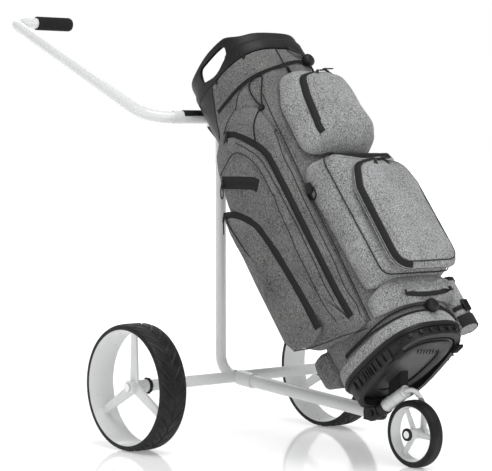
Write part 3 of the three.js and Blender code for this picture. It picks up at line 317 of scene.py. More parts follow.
def look(name):
    """The finished material of that name, made on first use."""
    if name not in LOOKS:
        fabric = bpy.context.scene.bag_fabric
        makers = {
            "frame_paint": lambda: paint("White gloss paint", (0.66, 0.665, 0.67)),
            "wheel_plastic": lambda: paint("White rim plastic", (0.70, 0.71, 0.71)),
            "black_plastic": lambda: moulding("Black moulded plastic", grey(0.007)),
            "collar_plastic": lambda: moulding("Black collar plastic", grey(0.0045), 700.0, 0.42, 0.6),
            "grey_plastic": lambda: moulding("Grey base plastic", grey(0.028), 600.0, 0.35, 0.5),
            "tyre_rubber": lambda: rubber("Tyre rubber", grey(0.006)),
            "grip_rubber": lambda: foam_grip("Grip foam", grey(0.010)),
            # Darker side fabric: the light fabric's own yarns at about half brightness. This is partly a darker
            # fabric on the sides and partly painted shade for the sides, which face away from the key light.
            "dark_fabric": lambda: heather_fabric(
                "Heather fabric dark and shaded", grey(fabric.dark_yarn * 0.55), grey(fabric.pale_yarn * 0.50, 0.01)
            ),
            "light_fabric": lambda: heather_fabric(
                "Heather fabric light", grey(fabric.dark_yarn), grey(fabric.pale_yarn, -0.01)
            ),
            "black_cord": lambda: webbing("Black webbing", grey(0.010)),
            "elastic": lambda: braid("Black elastic cord", grey(0.008)),
            "piping": lambda: braid("Dark piping", grey(0.022)),
            "zip": lambda: zip_tape("Zip tape", grey(0.008)),
            "lining": lambda: webbing("Dark lining", grey(0.016), 420.0),
            "steel": lambda: plated("Plated steel", (0.74, 0.75, 0.77)),
            "dark_steel": lambda: plated("Blackened steel", grey(0.03), 0.25, 0.4),
        }
        LOOKS[name] = makers[name]()
    return LOOKS[name]


# ------------------------------------------------------------------ small tools for pieces
def only(obj):
    bpy.ops.object.select_all(action="DESELECT")
    obj.select_set(True)
    bpy.context.view_layer.objects.active = obj


def flatten_place(obj):
    """Puts the object at the origin, with its place in its mesh."""
    only(obj)
    bpy.ops.object.transform_apply(location=True, rotation=True, scale=True)


def finish_piece(obj, name, body, material, angle=35.0):
    obj.name = name
    obj.data.name = name
    obj.data.materials.clear()
    obj.data.materials.append(look(material))
    if angle:
        only(obj)
        bpy.ops.object.shade_smooth_by_angle(angle=math.radians(angle))
    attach(obj, body)
    return obj


def mesh_from(name, points, faces, weld=True):
    """A mesh object with its faces turned outwards."""
    data = bpy.data.meshes.new(name)
    data.from_pydata([tuple(p) for p in points], [], faces)
    bm = bmesh.new()
    bm.from_mesh(data)
    if weld:
        bmesh.ops.remove_doubles(bm, verts=bm.verts, dist=1e-6)
    bmesh.ops.recalc_face_normals(bm, faces=bm.faces)
    bm.to_mesh(data)
    bm.free()
    obj = bpy.data.objects.new(name, data)
    bpy.context.scene.collection.objects.link(obj)
    return obj


def ring_mesh(name, rings, close_start=True, close_end=True, join_ends=False):
    """Quads between rings of equal count; the ends close on a middle point."""
    count = len(rings[0])
    points = [p for ring in rings for p in ring]
    faces = []
    spans = len(rings) if join_ends else len(rings) - 1
    for r in range(spans):
        a, b = r * count, ((r + 1) % len(rings)) * count
        for i in range(count):
            j = (i + 1) % count
            faces.append((a + i, a + j, b + j, b + i))
    for wanted, first in ((close_start, 0), (close_end, (len(rings) - 1) * count)):
        if wanted and not join_ends:
            middle = sum((Vector(points[first + i]) for i in range(count)), Vector()) / count
            points.append(middle)
            at = len(points) - 1
            faces += [(first + i, first + (i + 1) % count, at) for i in range(count)]
    return mesh_from(name, points, faces)


def cord_mesh(name, points, radius, sides=10, closed=False):
    """A smooth round cord along points."""
    curve = bpy.data.curves.new(name, "CURVE")
    curve.dimensions = "3D"
    curve.resolution_u = 6
    spline = curve.splines.new("NURBS" if len(points) > 3 else "POLY")
    spline.points.add(len(points) - 1)
    for target, point in zip(spline.points, points):
        target.co = (*point, 1.0)
    if spline.type == "NURBS":
        spline.order_u = 3
        spline.use_endpoint_u = not closed
    spline.use_cyclic_u = closed
    curve.bevel_depth = radius
    curve.bevel_resolution = max(1, sides // 4)
    curve.use_fill_caps = True
    curve.twist_mode = "MINIMUM"
    obj = bpy.data.objects.new(name, curve)
    bpy.context.scene.collection.objects.link(obj)
    only(obj)
    bpy.ops.object.convert(target="MESH")
    obj = bpy.context.view_layer.objects.active
    bpy.ops.object.mode_set(mode="EDIT")
    bpy.ops.mesh.select_all(action="SELECT")
    bpy.ops.mesh.remove_doubles(threshold=1e-6)
    bpy.ops.mesh.normals_make_consistent(inside=False)
    bpy.ops.object.mode_set(mode="OBJECT")
    return obj


def join_pieces(parts, name):
    only(parts[0])
    for part in parts:
        part.select_set(True)
    bpy.context.view_layer.objects.active = parts[0]
    bpy.ops.object.join()
    parts[0].name = name
    return parts[0]


def spun(name, profile, centre, axis, steps=48):
    """A solid turned by the spin operator from (radius, height) corners round an axis."""
    bpy.ops.object.select_all(action="DESELECT")
    bpy.ops.mesh.primitive_plane_add(size=0.01)
    obj = bpy.context.view_layer.objects.active
    data = obj.data
    data.clear_geometry()
    data.from_pydata([(r, 0, h) for r, h in profile], [(i, i + 1) for i in range(len(profile) - 1)], [])
    bpy.ops.object.mode_set(mode="EDIT")
    bpy.ops.mesh.select_all(action="SELECT")
    bpy.ops.mesh.spin(steps=steps, angle=math.tau, center=(0, 0, 0), axis=(0, 0, 1))
    bpy.ops.mesh.select_all(action="SELECT")
    bpy.ops.mesh.remove_doubles(threshold=2e-6)
    bpy.ops.mesh.normals_make_consistent(inside=False)
    bpy.ops.object.mode_set(mode="OBJECT")
    obj.matrix_world = Matrix.Translation(centre) @ axis.to_track_quat("Z", "Y").to_matrix().to_4x4()
    flatten_place(obj)
    obj.name = name
    return obj


def block(name, size, centre, turn, bevel, segments=3):
    """A bevelled block: turn is a 3 by 3 matrix whose columns are its axes."""
    bpy.ops.object.select_all(action="DESELECT")
    bpy.ops.mesh.primitive_cube_add(size=1.0)
    obj = bpy.context.view_layer.objects.active
    obj.scale = size
    only(obj)
    bpy.ops.object.transform_apply(location=True, rotation=True, scale=True)
    modifier = obj.modifiers.new("Edge", "BEVEL")
    modifier.width = bevel
    modifier.segments = segments
    bpy.ops.object.modifier_apply(modifier=modifier.name)
    obj.matrix_world = Matrix.Translation(centre) @ turn.to_4x4()
    flatten_place(obj)
    obj.name = name
    return obj


def axes(x, y, z):
    return Matrix((x, y, z)).transposed()


BAG_TURN = axes(W_AXIS, Vector((0, 1, 0)), S_AXIS)


def tidy_frame_node(node, material):
    """Keeps a frame node: welds its loose facets, smooths its curves and gives it its finish."""
    obj = NODES[node]
    obj.data.materials.clear()
    obj.data.materials.append(look(material))
    weld = obj.modifiers.new("Weld", "WELD")
    weld.merge_threshold = 1e-5
    split = obj.modifiers.new("Edges", "EDGE_SPLIT")
    split.split_angle = math.radians(34)
    obj.data.polygons.foreach_set("use_smooth", [True] * len(obj.data.polygons))


# ------------------------------------------------------------------ outlines of sewn panels
def rounded_outline(corners, steps=7):
    """Corners (a, b, radius) joined by straight sides and arcs."""
    points = []
    count = len(corners)
    for i in range(count):
        a, b, radius = (*corners[i], 0)[:3] if len(corners[i]) == 2 else corners[i]
        here = Vector((a, b))
        before = Vector(corners[i - 1][:2]) - here
        after = Vector(corners[(i + 1) % count][:2]) - here
        if not radius:
            points.append(here)
            continue
        half = before.angle(after) / 2
        reach = min(radius / math.tan(half), before.length * 0.49, after.length * 0.49)
        start, end = here + before.normalized() * reach, here + after.normalized() * reach
        for k in range(steps + 1):
            t = k / steps
            points.append(start * (1 - t) ** 2 + here * 2 * t * (1 - t) + end * t * t)
    return points


def resampled(points, count):
    """Evenly spaced points round a closed outline."""
    loop = points + [points[0]]
    lengths = [0.0]
    for p, q in zip(loop, loop[1:]):
        lengths.append(lengths[-1] + (q - p).length)
    result = []
    k = 0
    for i in range(count):
        at = lengths[-1] * i / count
        while lengths[k + 1] < at:
            k += 1
        share = (at - lengths[k]) / max(1e-9, lengths[k + 1] - lengths[k])
        result.append(loop[k].lerp(loop[k + 1], share))
    return result


class Panel:
    """Nested outlines that share the same directions from one middle point."""

    def __init__(self, base, centre, count=132):
        self.centre = Vector(centre)
        ring = resampled(rounded_outline(base), count)
        self.turns = [math.atan2(*(p - self.centre).yx) for p in ring]

    def reach(self, outline, turn):
        ray = Vector((math.cos(turn), math.sin(turn)))
        best = 0.0
        loop = outline + [outline[0]]
        for p, q in zip(loop, loop[1:]):
            a, b = p - self.centre, q - self.centre
            edge = b - a
            det = edge.x * ray.y - edge.y * ray.x
            if abs(det) < 1e-9:
                continue
            t = (a.y * edge.x - a.x * edge.y) / -det * -1
            u = (a.y * ray.x - a.x * ray.y) / det
            if -1e-6 <= u <= 1 + 1e-6 and t > best:
                best = t
        return best

    def ring(self, corners):
        outline = rounded_outline(corners)
        result = []
        for turn in self.turns:
            reach = self.reach(outline, turn)
            result.append(self.centre + Vector((math.cos(turn), math.sin(turn))) * reach)
        return result

    def inset(self, ring, distance):
        """The ring drawn in by an even distance, square to itself."""
        count = len(ring)
        result = []
        for i, p in enumerate(ring):
            along = (ring[(i + 1) % count] - ring[i - 1]).normalized()
            inwards = Vector((-along.y, along.x))
            if inwards.dot(self.centre - p) < 0:
                inwards.negate()
            result.append(p + inwards * distance)
        return result

    def shrunk(self, ring, share):
        return [self.centre.lerp(p, share) for p in ring]


CLOTH_FRAMES = 16
CREASE_SCALE = 24.0


def padded_piece(name, place, rings, pins, material, puff, cap, ripple, seed):
    """A sewn, filled piece: rings of (a, b) with a height each, from its hidden back to the
    middle of its face. Sewn rings stay put while the cloth between them swells and creases."""
    count = len(rings[0][0])
    layers, held = [], []
    for k, (ring, height) in enumerate(rings):
        layers.append([place(p.x, p.y, height(p.x, p.y) if callable(height) else height) for p in ring])
        held += [1.0 if k in pins else 0.0] * count
    obj = ring_mesh(name, layers)
    held += [1.0, 0.0]
    total = len(obj.data.vertices)
    held = (held + [0.0] * total)[:total]
    rest = [v.co.copy() for v in obj.data.vertices]
    group = obj.vertex_groups.new(name="sewn")
    for i, weight in enumerate(held):
        group.add([i], weight, "REPLACE")
    cloth = obj.modifiers.new("Cloth", "CLOTH")
    settings = cloth.settings
    settings.quality = 5
    settings.mass = 0.25
    settings.tension_stiffness = 22
    settings.compression_stiffness = 22
    settings.shear_stiffness = 12
    settings.bending_stiffness = 0.6
    settings.use_pressure = True
    settings.uniform_pressure_force = puff
    settings.vertex_group_mass = "sewn"
    settings.effector_weights.gravity = 0.0
    settings.shrink_min = -0.035
    cloth.collision_settings.use_collision = False
    cloth.point_cache.frame_start = 1
    cloth.point_cache.frame_end = CLOTH_FRAMES
    scene = bpy.context.scene
    for number in range(1, CLOTH_FRAMES + 1):
        scene.frame_set(number)
    only(obj)
    bpy.ops.object.modifier_apply(modifier=cloth.name)
    scene.frame_set(1)
    for i, vertex in enumerate(obj.data.vertices):
        move = vertex.co - rest[i]
        if move.length > cap * MM:
            move = move.normalized() * cap * MM
        free = 1.0 - held[i]
        spot = rest[i] * CREASE_SCALE + Vector((seed, seed * 0.7, 0))
        crease = noise.noise(spot) * 0.6 + noise.noise(spot * 2.7) * 0.4
        vertex.co = rest[i] + move + vertex.normal * crease * ripple * MM * free
    only(obj)
    fine = obj.modifiers.new("Fine", "SUBSURF")
    fine.levels = fine.render_levels = 1
    bpy.ops.object.modifier_apply(modifier=fine.name)
    finish_piece(obj, name, CART, material, None)
    obj.data.polygons.foreach_set("use_smooth", [True] * len(obj.data.polygons))
    return obj


def surface_of(*objs):
    """One search tree over several finished pieces."""
    points, faces = [], []
    for obj in objs:
        start = len(points)
        points += [v.co.copy() for v in obj.data.vertices]
        faces += [tuple(start + i for i in p.vertices) for p in obj.data.polygons]
    return BVHTree.FromPolygons(points, faces)


def laid(tree, points, heading, lift=0.6):
    """Points dropped along a heading onto a surface, with the normal at each."""
    result = []
    for point in points:
        hit, normal, _, _ = tree.ray_cast(point - heading * 0.4, heading, 0.9)
        if hit is None:
            continue
        if normal.dot(heading) > 0:
            normal = -normal
        result.append((hit + normal * lift * MM, normal))
    return result


def through(points, steps=8):
    """A smooth run of points through the given ones."""
    points = [Vector(p) for p in points]
    ends = [points[0] * 2 - points[1]] + points + [points[-1] * 2 - points[-2]]
    result = []
    for a, b, c, d in zip(ends, ends[1:], ends[2:], ends[3:]):
        for k in range(steps):
            t = k / steps
            square = (2 * a - 5 * b + 4 * c - d) * t * t
            cube = (3 * b - a - 3 * c + d) * t ** 3
            result.append(0.5 * ((2 * b) + (c - a) * t + square + cube))
    result.append(points[-1])
    return result


def ribbon(name, run, width, profile):
    """A strip along (point, normal) pairs; profile is (share across, lift in mm) from edge to edge."""
    rows = []
    for i, (point, normal) in enumerate(run):
        before = run[max(0, i - 1)][0]
        after = run[min(len(run) - 1, i + 1)][0]
        across = normal.cross((after - before).normalized()).normalized()
        top = [point + across * share * width * MM / 2 + normal * lift * MM for share, lift in profile]
        under = [point + across * share * width * MM / 2 - normal * 0.5 * MM for share in (1, -1)]
        rows.append(top + under)
    return ring_mesh(name, rows)


ZIP_SHAPE = (
    (-1, 0.3), (-0.9, 0.7), (-0.36, 0.8), (-0.26, 1.5), (0, 1.9), (0.26, 1.5), (0.36, 0.8),
    (0.9, 0.7), (1, 0.3),
)
TAPE_SHAPE = ((-1, 0.3), (-0.9, 1.0), (0, 1.1), (0.9, 1.0), (1, 0.3))


def zip_strip(name, run, width=11.0):
    obj = ribbon(name, run, width, ZIP_SHAPE)
    return finish_piece(obj, name, CART, "zip", 60)


def stitch_line(run, pitch, radius):
    """Corners and faces of a row of sewn stitches along (point, normal) pairs."""
    points = [p for p, _ in run]
    lengths = [0.0]
    for p, q in zip(points, points[1:]):
        lengths.append(lengths[-1] + (q - p).length)
    count = int(lengths[-1] / (pitch * MM))
    verts, faces = [], []
    k = 0
    for i in range(count):
        at = (i + 0.5) * pitch * MM
        while k < len(points) - 2 and lengths[k + 1] < at:
            k += 1
        span = max(1e-9, lengths[k + 1] - lengths[k])
        middle = points[k].lerp(points[k + 1], (at - lengths[k]) / span)
        along = (points[k + 1] - points[k]).normalized()
        up = run[k][1]
        across = up.cross(along).normalized()
        start = len(verts)
        half = pitch * 0.34 * MM
        for share, size in ((-1, 0.25), (-0.6, 1), (0.6, 1), (1, 0.25)):
            for turn in range(4):
                angle = math.tau * turn / 4
                offset = across * math.cos(angle) + up * math.sin(angle)
                verts.append(middle + along * half * share + offset * radius * size * MM)
        for r in range(3):
            for t in range(4):
                a = start + r * 4 + t
                b = start + r * 4 + (t + 1) % 4
                faces.append((a, b, b + 4, a + 4))
        faces.append(tuple(start + t for t in (3, 2, 1, 0)))
        faces.append(tuple(start + 12 + t for t in range(4)))
    return verts, faces


STITCH_PITCH, STITCH_RADIUS = 4.2, 0.45


def stitches(name, runs):
    verts, faces = [], []
    for run in runs:
        more, quads = stitch_line(run, STITCH_PITCH, STITCH_RADIUS)
        start = len(verts)
        verts += more
        faces += [tuple(start + i for i in face) for face in quads]
    obj = mesh_from(name, verts, faces, weld=False)
    return finish_piece(obj, name, CART, "piping", 60)


def puller(name, point, normal, down, size=1.0):
    """A zip slider with its cord pull hanging from it."""
    across = normal.cross(down).normalized()
    turn = axes(across, down, normal)
    body = (7 * MM * size, 11 * MM * size, 4 * MM * size)
    slider = block(name, body, point + normal * 2.6 * MM, turn, 1.2 * MM)
    loop = []
    for k in range(17):
        t = k / 16
        swing = math.sin(math.pi * t)
        side = math.cos(math.pi * t) * math.sin(math.pi * t) ** 0.5
        reach = 4 + 32 * size * swing
        hung = point + down * reach * MM + across * side * 8.5 * size * MM
        loop.append(hung + normal * (5.0 - 1.2 * swing) * MM)
    cord = cord_mesh(name + "_cord", loop, 1.5 * MM, 8)
    tied = point + down * 11 * MM + normal * 4.4 * MM
    knot = block(name + "_knot", (6 * MM, 9 * MM * size, 5 * MM), tied, turn, 1.8 * MM)
    obj = join_pieces([slider, cord, knot], name)
    return finish_piece(obj, name, CART, "black_plastic", 50)


# ------------------------------------------------------------------ sizes that a user may change
class BagFabricLook(bpy.types.PropertyGroup):
    """Yarns and fullness of the bag's fabric."""

    dark_yarn: bpy.props.FloatProperty(
        name="Dark yarn", description="Brightness of the dark yarn", default=0.045, min=0.0, max=1.0
    )
    pale_yarn: bpy.props.FloatProperty(
        name="Pale yarn", description="Brightness of the pale yarn", default=0.43, min=0.0, max=1.0
    )
    fullness: bpy.props.FloatProperty(
        name="Fullness", description="Air pressure that fills the pockets", default=3.0, min=0.0, max=8.0
    )
    piping: bpy.props.FloatProperty(
        name="Piping", description="Radius of the piping in the seams", default=0.0015, unit="LENGTH",
        subtype="DISTANCE",
    )


class CartLook(bpy.types.PropertyGroup):
    """Tyre pattern of the cart."""

    tread_depth: bpy.props.FloatProperty(
        name="Tread depth", description="Depth of the tyre grooves", default=0.0022, unit="LENGTH",
        subtype="DISTANCE",
    )
    feathers: bpy.props.IntProperty(
        name="Feathers", description="Slanted grooves round each half of a rear tyre", default=26,
        min=4, max=60,
    )


class StudioLook(bpy.types.PropertyGroup):
    """Camera, lights and floor."""

    lens: bpy.props.FloatProperty(name="Lens", description="Focal length", default=145.9, unit="CAMERA")
    camera: bpy.props.FloatVectorProperty(
        name="Camera", description="Place of the camera", default=(3.5696, -3.0010, 0.6936), size=3,
        subtype="TRANSLATION",
    )
    key_power: bpy.props.FloatProperty(
        name="Key light", description="Power of the large key light", default=300.0
    )
    fill_power: bpy.props.FloatProperty(
        name="Fill light", description="Power of the fill light and of the back light", default=30.0
    )
    sky_shade: bpy.props.FloatProperty(name="Sky", description="Brightness of the room above", default=0.42)
    floor_shade: bpy.props.FloatProperty(name="Floor", description="Brightness of the floor", default=0.86)


# ------------------------------------------------------------------ stage
CAMERA_AZIMUTH, CAMERA_RISE = math.radians(49.30), math.radians(2.75)
FLOOR_SIZE = 80.0
LIT_MIDDLE = (0.15, 0.0, 0.45)


def area_light(name, power, size, place, target):
    data = bpy.data.lights.new(name, "AREA")
    data.shape = "RECTANGLE"
    data.energy, data.size, data.size_y = power, size, size
    obj = bpy.data.objects.new(name, data)
    obj.location = place
    obj.rotation_mode = "QUATERNION"
    obj.rotation_quaternion = (Vector(place) - Vector(target)).to_track_quat("Z", "Y")
    bpy.context.scene.collection.objects.link(obj)


class GOLFBAG_OT_stage(bpy.types.Operator):
    """Builds the floor, the lights and the camera"""

    bl_idname = "golfbag.stage"
    bl_label = "Stage"

    def execute(self, context):
        studio = context.scene.bag_studio
        lens = bpy.data.cameras.new("Camera")
        lens.lens, lens.sensor_width = studio.lens, 36.0
        lens.clip_start, lens.clip_end = 0.1, 100.0
        camera = bpy.data.objects.new("Camera", lens)
        level = math.cos(CAMERA_RISE)
        back = Vector((
            math.sin(CAMERA_AZIMUTH) * level, -math.cos(CAMERA_AZIMUTH) * level, math.sin(CAMERA_RISE),
        ))
        camera.location = studio.camera
        camera.rotation_mode = "QUATERNION"
        camera.rotation_quaternion = back.to_track_quat("Z", "Y")
        context.scene.collection.objects.link(camera)
        context.scene.camera = camera

        bpy.ops.object.select_all(action="DESELECT")
        bpy.ops.mesh.primitive_plane_add(size=FLOOR_SIZE, location=(0, 0, 0))
        floor = context.view_layer.objects.active
        floor.name = "Floor"
        surface = Nodes("Pale floor")
        shade = grey(studio.floor_shade)
        worn = tuple(c * 0.99 for c in shade)
        surface.colour(surface.ramp(surface.noise(2.0, 2.0), (0.3, worn), (0.7, shade)))
        surface.set(Roughness=0.09, Specular_IOR_Level=0.5)
        # Painted glow: the floor emits light, faintly under the cart and more strongly far off, so the far floor
        # reads as white backdrop and the shade under the cart is lightened.
        far = surface.add("ShaderNodeTexGradient", gradient_type="SPHERICAL")
        surface.link(surface.stretched((1 / 7.0,) * 3), far.inputs["Vector"])
        glow = surface.ramp(far.outputs["Fac"], (0.45, grey(0.80)), (0.88, grey(0.26)))
        surface.link(glow, surface.shader.inputs["Emission Color"])
        surface.set(Emission_Strength=1.0)
        floor.data.materials.append(surface.material)

        world = bpy.data.worlds.new("Studio")
        world.use_nodes = True
        tree = world.node_tree
        sky = tree.nodes["Background"]
        heading = tree.nodes.new("ShaderNodeTexCoord")
        split = tree.nodes.new("ShaderNodeSeparateXYZ")
        bands = tree.nodes.new("ShaderNodeValToRGB")
        for element, at, shade in zip(bands.color_ramp.elements, (0.16, 0.34), (1.0, studio.sky_shade)):
            element.position, element.color = at, (*grey(shade), 1.0)
        tree.links.new(heading.outputs["Generated"], split.inputs["Vector"])
        tree.links.new(split.outputs["Z"], bands.inputs["Fac"])
        tree.links.new(bands.outputs["Color"], sky.inputs["Color"])
        sky.inputs["Strength"].default_value = 1.0
        context.scene.world = world
        area_light("Key", studio.key_power, 4.5, (2.3, -0.8, 6.2), LIT_MIDDLE)
        area_light("Fill", studio.fill_power, 2.0, (4.2, -1.6, 1.9), LIT_MIDDLE)
        area_light("Back", studio.fill_power, 2.4, (-3.6, 1.6, 3.0), LIT_MIDDLE)
        context.scene.view_settings.view_transform = "Standard"
        return {"FINISHED"}


# ------------------------------------------------------------------ cart
KEPT_NODES = {
    "frame_paint": (
        "axle_tube", "mast_tube", "lower_beam", "beam_socket", "front_tube", "front_fork", "handle_tube",
        "cross_sleeve", "joint_ring",
    ),
    "wheel_plastic": ("rear_rim_right", "rear_rim_left", "front_rim"),
    "black_plastic": (
        "fold_yoke", "fold_tongue", "bag_bracket", "axle_spacer_right", "axle_spacer_left", "club_divider",
        "back_saddle", "bag_base",
    ),
    "grey_plastic": ("base_panel",),
    # rest_pad sits on top of the tube where the tube only shows the shadow and reflection of the bag's dark
    # handle; its dark rubber is a painted shadow and reflection made as a part.
    "grip_rubber": ("rest_pad", "base_rest", "base_foot_right", "base_foot_left"),
    "steel": (
        "front_axle_pin", "handle_spigot", "axle_pin_right", "axle_pin_left", "bracket_bolt_right",
        "bracket_bolt_left",
    ),
    "dark_steel": ("fold_pin", "umbrella_buckle", "d_ring_right", "d_ring_left"),
}


class GOLFBAG_OT_cart_finish(bpy.types.Operator):
    """Gives the kept parts of the cart their paint, plastic and plating"""

    bl_idname = "golfbag.cart_finish"
    bl_label = "Cart finish"

    def execute(self, context):
        for material, nodes in KEPT_NODES.items():
            for node in nodes:
                tidy_frame_node(node, material)
        return {"FINISHED"}


def tyre_profile(radius, inner, half, crown):
    """Cross-section as (radius, across): beads that lap over the rim's edges, side walls and crown."""
    bead, lap = inner - 2.6, half + 0.9
    profile = [
        (inner, -half - 0.25), (bead, -half - 0.25), (bead, -lap), (inner + 1.5, -lap),
        (radius - crown - 1, -half),
    ]
    for k in range(33):
        share = -1 + k / 16
        drop = crown * abs(share) ** 6
        profile.append((radius - drop, share * (half - 0.4)))
    profile += [
        (radius - crown - 1, half), (inner + 1.5, lap), (bead, lap), (bead, half + 0.25),
        (inner, half + 0.25),
    ]
    return profile + [profile[0]]


REAR_TYRE = (142.4, 132.3, 34.0)  # outer radius, radius at the rim, half width
FRONT_TYRE = (71.9, 61.5, 14.0)
FRONT_GROOVE = 0.0005
TYRE_CROWN = 3.6


def treaded_tyre(name, centre, size, feathers, depth, steps):
    """A tyre with a groove round its middle and slanted feathers on each half."""
    radius, inner, half = size
    profile = [(r * MM, y * MM) for r, y in tyre_profile(radius, inner, half, TYRE_CROWN)]
    obj = spun(name, profile, Vector((0, 0, 0)), Vector((0, 0, 1)), steps)
    for vertex in obj.data.vertices:
        x, y, z = vertex.co
        reach = math.hypot(x, y)
        if reach < (radius - 3.2) * MM:
            continue
        turn = math.atan2(y, x)
        across = abs(z) / (half * MM)
        cut = 0.0
        if across < 0.06:
            cut = 0.9
        else:
            phase = feathers * turn / math.tau + 1.25 * across + (0.0 if z > 0 else 0.5)
            wave = phase - math.floor(phase)
            width = 0.16 + 0.10 * across
            if wave < width:
                cut = math.sin(math.pi * wave / width) ** 0.6
            fine = phase * 2 + 0.35 - across * 0.8
            wave = fine - math.floor(fine)
            if across > 0.45 and wave < 0.14:
                cut = max(cut, 0.6)
        cut *= smooth(1.0 - across, 0.0, 0.12)
        share = (reach - depth * cut) / reach
        vertex.co = Vector((x * share, y * share, z))
    obj.data.transform(Matrix.Translation(centre) @ Matrix.Rotation(math.radians(-90), 4, "X"))
    return obj


class GOLFBAG_OT_tyres(bpy.types.Operator):
    """Builds the treaded tyres"""

    bl_idname = "golfbag.tyres"
    bl_label = "Tyres"

    def execute(self, context):
        sizes = context.scene.bag_cart
        for _, side in SIDES:
            low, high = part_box(f"rear_tyre_{side}")
            middle = (low + high) / 2
            name = f"tyre_{side}"
            obj = treaded_tyre(name, middle, REAR_TYRE, sizes.feathers, sizes.tread_depth, 416)
            finish_piece(obj, name, f"rear_wheel_{side}", "tyre_rubber", 40)
            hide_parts(f"rear_tyre_{side}")
        low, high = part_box("front_tyre")
        obj = treaded_tyre("tyre_front", (low + high) / 2, FRONT_TYRE, 0, FRONT_GROOVE, 160)
        finish_piece(obj, "tyre_front", "front_wheel", "tyre_rubber", 40)
        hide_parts("front_tyre")
        return {"FINISHED"}


RIB_DEPTH = 0.0007


class GOLFBAG_OT_grip(bpy.types.Operator):
    """Builds the foam grip with its ribs and end cap"""

    bl_idname = "golfbag.grip"
    bl_label = "Grip"

    def execute(self, context):
        low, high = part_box("grip")
        middle = (low + high) / 2
        length, radius = high.y - low.y, (high.x - low.x) / 2
        profile = [(0.0138, 0.0), (radius - 0.002, 0.0), (radius, 0.0022)]
        ribs = 9
        for k in range(ribs):
            at = length * (0.12 + 0.72 * k / ribs)
            profile += [
                (radius, at), (radius - RIB_DEPTH, at + 0.0010), (radius - RIB_DEPTH, at + 0.0022),
                (radius, at + 0.0032),
            ]
        profile += [
            (radius, length - 0.007), (radius - 0.002, length - 0.002), (radius - 0.006, length),
            (0.0, length), (0.0, length - 0.004), (0.0138, length - 0.004), (0.0138, 0.0),
        ]
        obj = spun("hand_grip", profile, Vector((middle.x, low.y, middle.z)), Vector((0, 1, 0)), 56)
        finish_piece(obj, "hand_grip", HANDLE, "grip_rubber", 30)
        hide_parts("grip")
        return {"FINISHED"}


class GOLFBAG_OT_hub_details(bpy.types.Operator):
    """Adds the front wheel's hub cap and the teeth of the rear axle's spacers"""

    bl_idname = "golfbag.hub_details"
    bl_label = "Hub details"

    def execute(self, context):
        low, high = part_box("front_rim")
        middle = (low + high) / 2
        cap_y = low.y - 0.0004
        profile = [
            (0.0046, 0), (0.0125, 0), (0.0135, 0.001), (0.0135, 0.0048), (0.012, 0.006), (0.0105, 0.006),
            (0.0096, 0.003), (0.0046, 0.0026), (0.0046, 0),
        ]
        seat = Vector((middle.x, cap_y - 0.0002, middle.z))
        ring = spun("front_hub_cap", profile, seat, Vector((0, -1, 0)), 40)
        finish_piece(ring, "front_hub_cap", "front_wheel", "black_plastic", 30)
        for _, word in SIDES:
            low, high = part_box(f"axle_spacer_{word}")
            middle = (low + high) / 2
            parts = []
            for k in range(10):
                turn = math.tau * k / 10
                out = Vector((math.cos(turn), 0, math.sin(turn)))
                spin = axes(out, Vector((0, 1, 0)), out.cross(Vector((0, 1, 0))))
                parts.append(block("tooth", (0.004, 0.0056, 0.005), middle + out * 0.0166, spin, 0.0008, 2))
            obj = join_pieces(parts, f"spacer_teeth_{word}")
            finish_piece(obj, f"spacer_teeth_{word}", CART, "black_plastic", 30)
        return {"FINISHED"}


# ------------------------------------------------------------------ bag shell
BODY_RINGS = 150
BODY_SIDES = 168


def skin_point(turn, s, offset):
    """The fabric skin: taut over its stays, with soft hollows and drag lines near its seams."""
    w, y = around(turn, s, offset)
    point = bag(w, y, s)
    out = (W_AXIS * (w + 12) * 0.8 + Vector((0, y, 0))).normalized()
    drape = noise.noise(Vector((w * 0.012, y * 0.012, s * 0.008))) * 2.0
    fine = noise.noise(Vector((w * 0.03 + 7, y * 0.03, s * 0.016))) * 1.2
    neck = smooth(s, 640, 690) * (1 - smooth(s, 700, 735))
    fold = math.sin(turn * 9 + 2.0 * noise.noise(Vector((turn * 2, s * 0.01, 3)))) * neck * 1.4
    return point + out * (drape + fine + fold) * MM


class GOLFBAG_OT_skin(bpy.types.Operator):
    """Builds the bag's fabric skin with its lining"""

    bl_idname = "golfbag.skin"
    bl_label = "Bag skin"

    def execute(self, context):
        turns = [math.tau * i / BODY_SIDES for i in range(BODY_SIDES)]
        rings = []
        for k in range(BODY_RINGS + 1):
            s = 1.0 + (BODY_HEIGHT - 2.0) * k / BODY_RINGS
            rings.append([skin_point(t, s, 0.4) for t in turns])
        for k in range(11):
            s = BODY_HEIGHT - 1.0 - (BODY_HEIGHT - 4.0) * k / 10
            rings.append([bag(*around(t, s, -4.0), s) for t in turns])
        obj = ring_mesh("bag_skin", rings, join_ends=True)
        finish_piece(obj, "bag_skin", CART, "dark_fabric", 50)
        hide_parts("bag_body")
        lining_rings = []
        for k in range(31):
            s = BODY_HEIGHT - 2.0 - (BODY_HEIGHT - 8.0) * k / 30
            lining_rings.append([bag(*around(t, s, -4.6), s) for t in turns[::2]])
        for k in range(31):
            s = 6.0 + (BODY_HEIGHT - 8.0) * k / 30
            lining_rings.append([bag(*around(t, s, -5.6), s) for t in turns[::2]])
        lining = ring_mesh("bag_lining", lining_rings, join_ends=True)
        finish_piece(lining, "bag_lining", CART, "lining", 50)
        hem = []
        for s, offset in ((2, 0.8), (2, 2.2), (6, 2.8), (24, 2.8), (27, 2.2), (27, 0.8)):
            hem.append([bag(*around(t, s, offset), s) for t in turns])
        band = ring_mesh("hem_band", hem, join_ends=True)
        finish_piece(band, "hem_band", CART, "light_fabric", 50)
        return {"FINISHED"}


def collar_top(w):
    """Height of the collar's top edge: low over the front, high along the sides."""
    corners = ((-180, 814), (-77, 824), (0, 831), (52, 830), (92, 812), (150, 798))
    for (a, low), (b, high) in zip(corners, corners[1:]):
        if w <= b:
            return blend_value(low, high, smooth(w, a, b))
    return corners[-1][1]


RIVET_SPOTS = ((77, 757), (71, 771), (-13, 756))


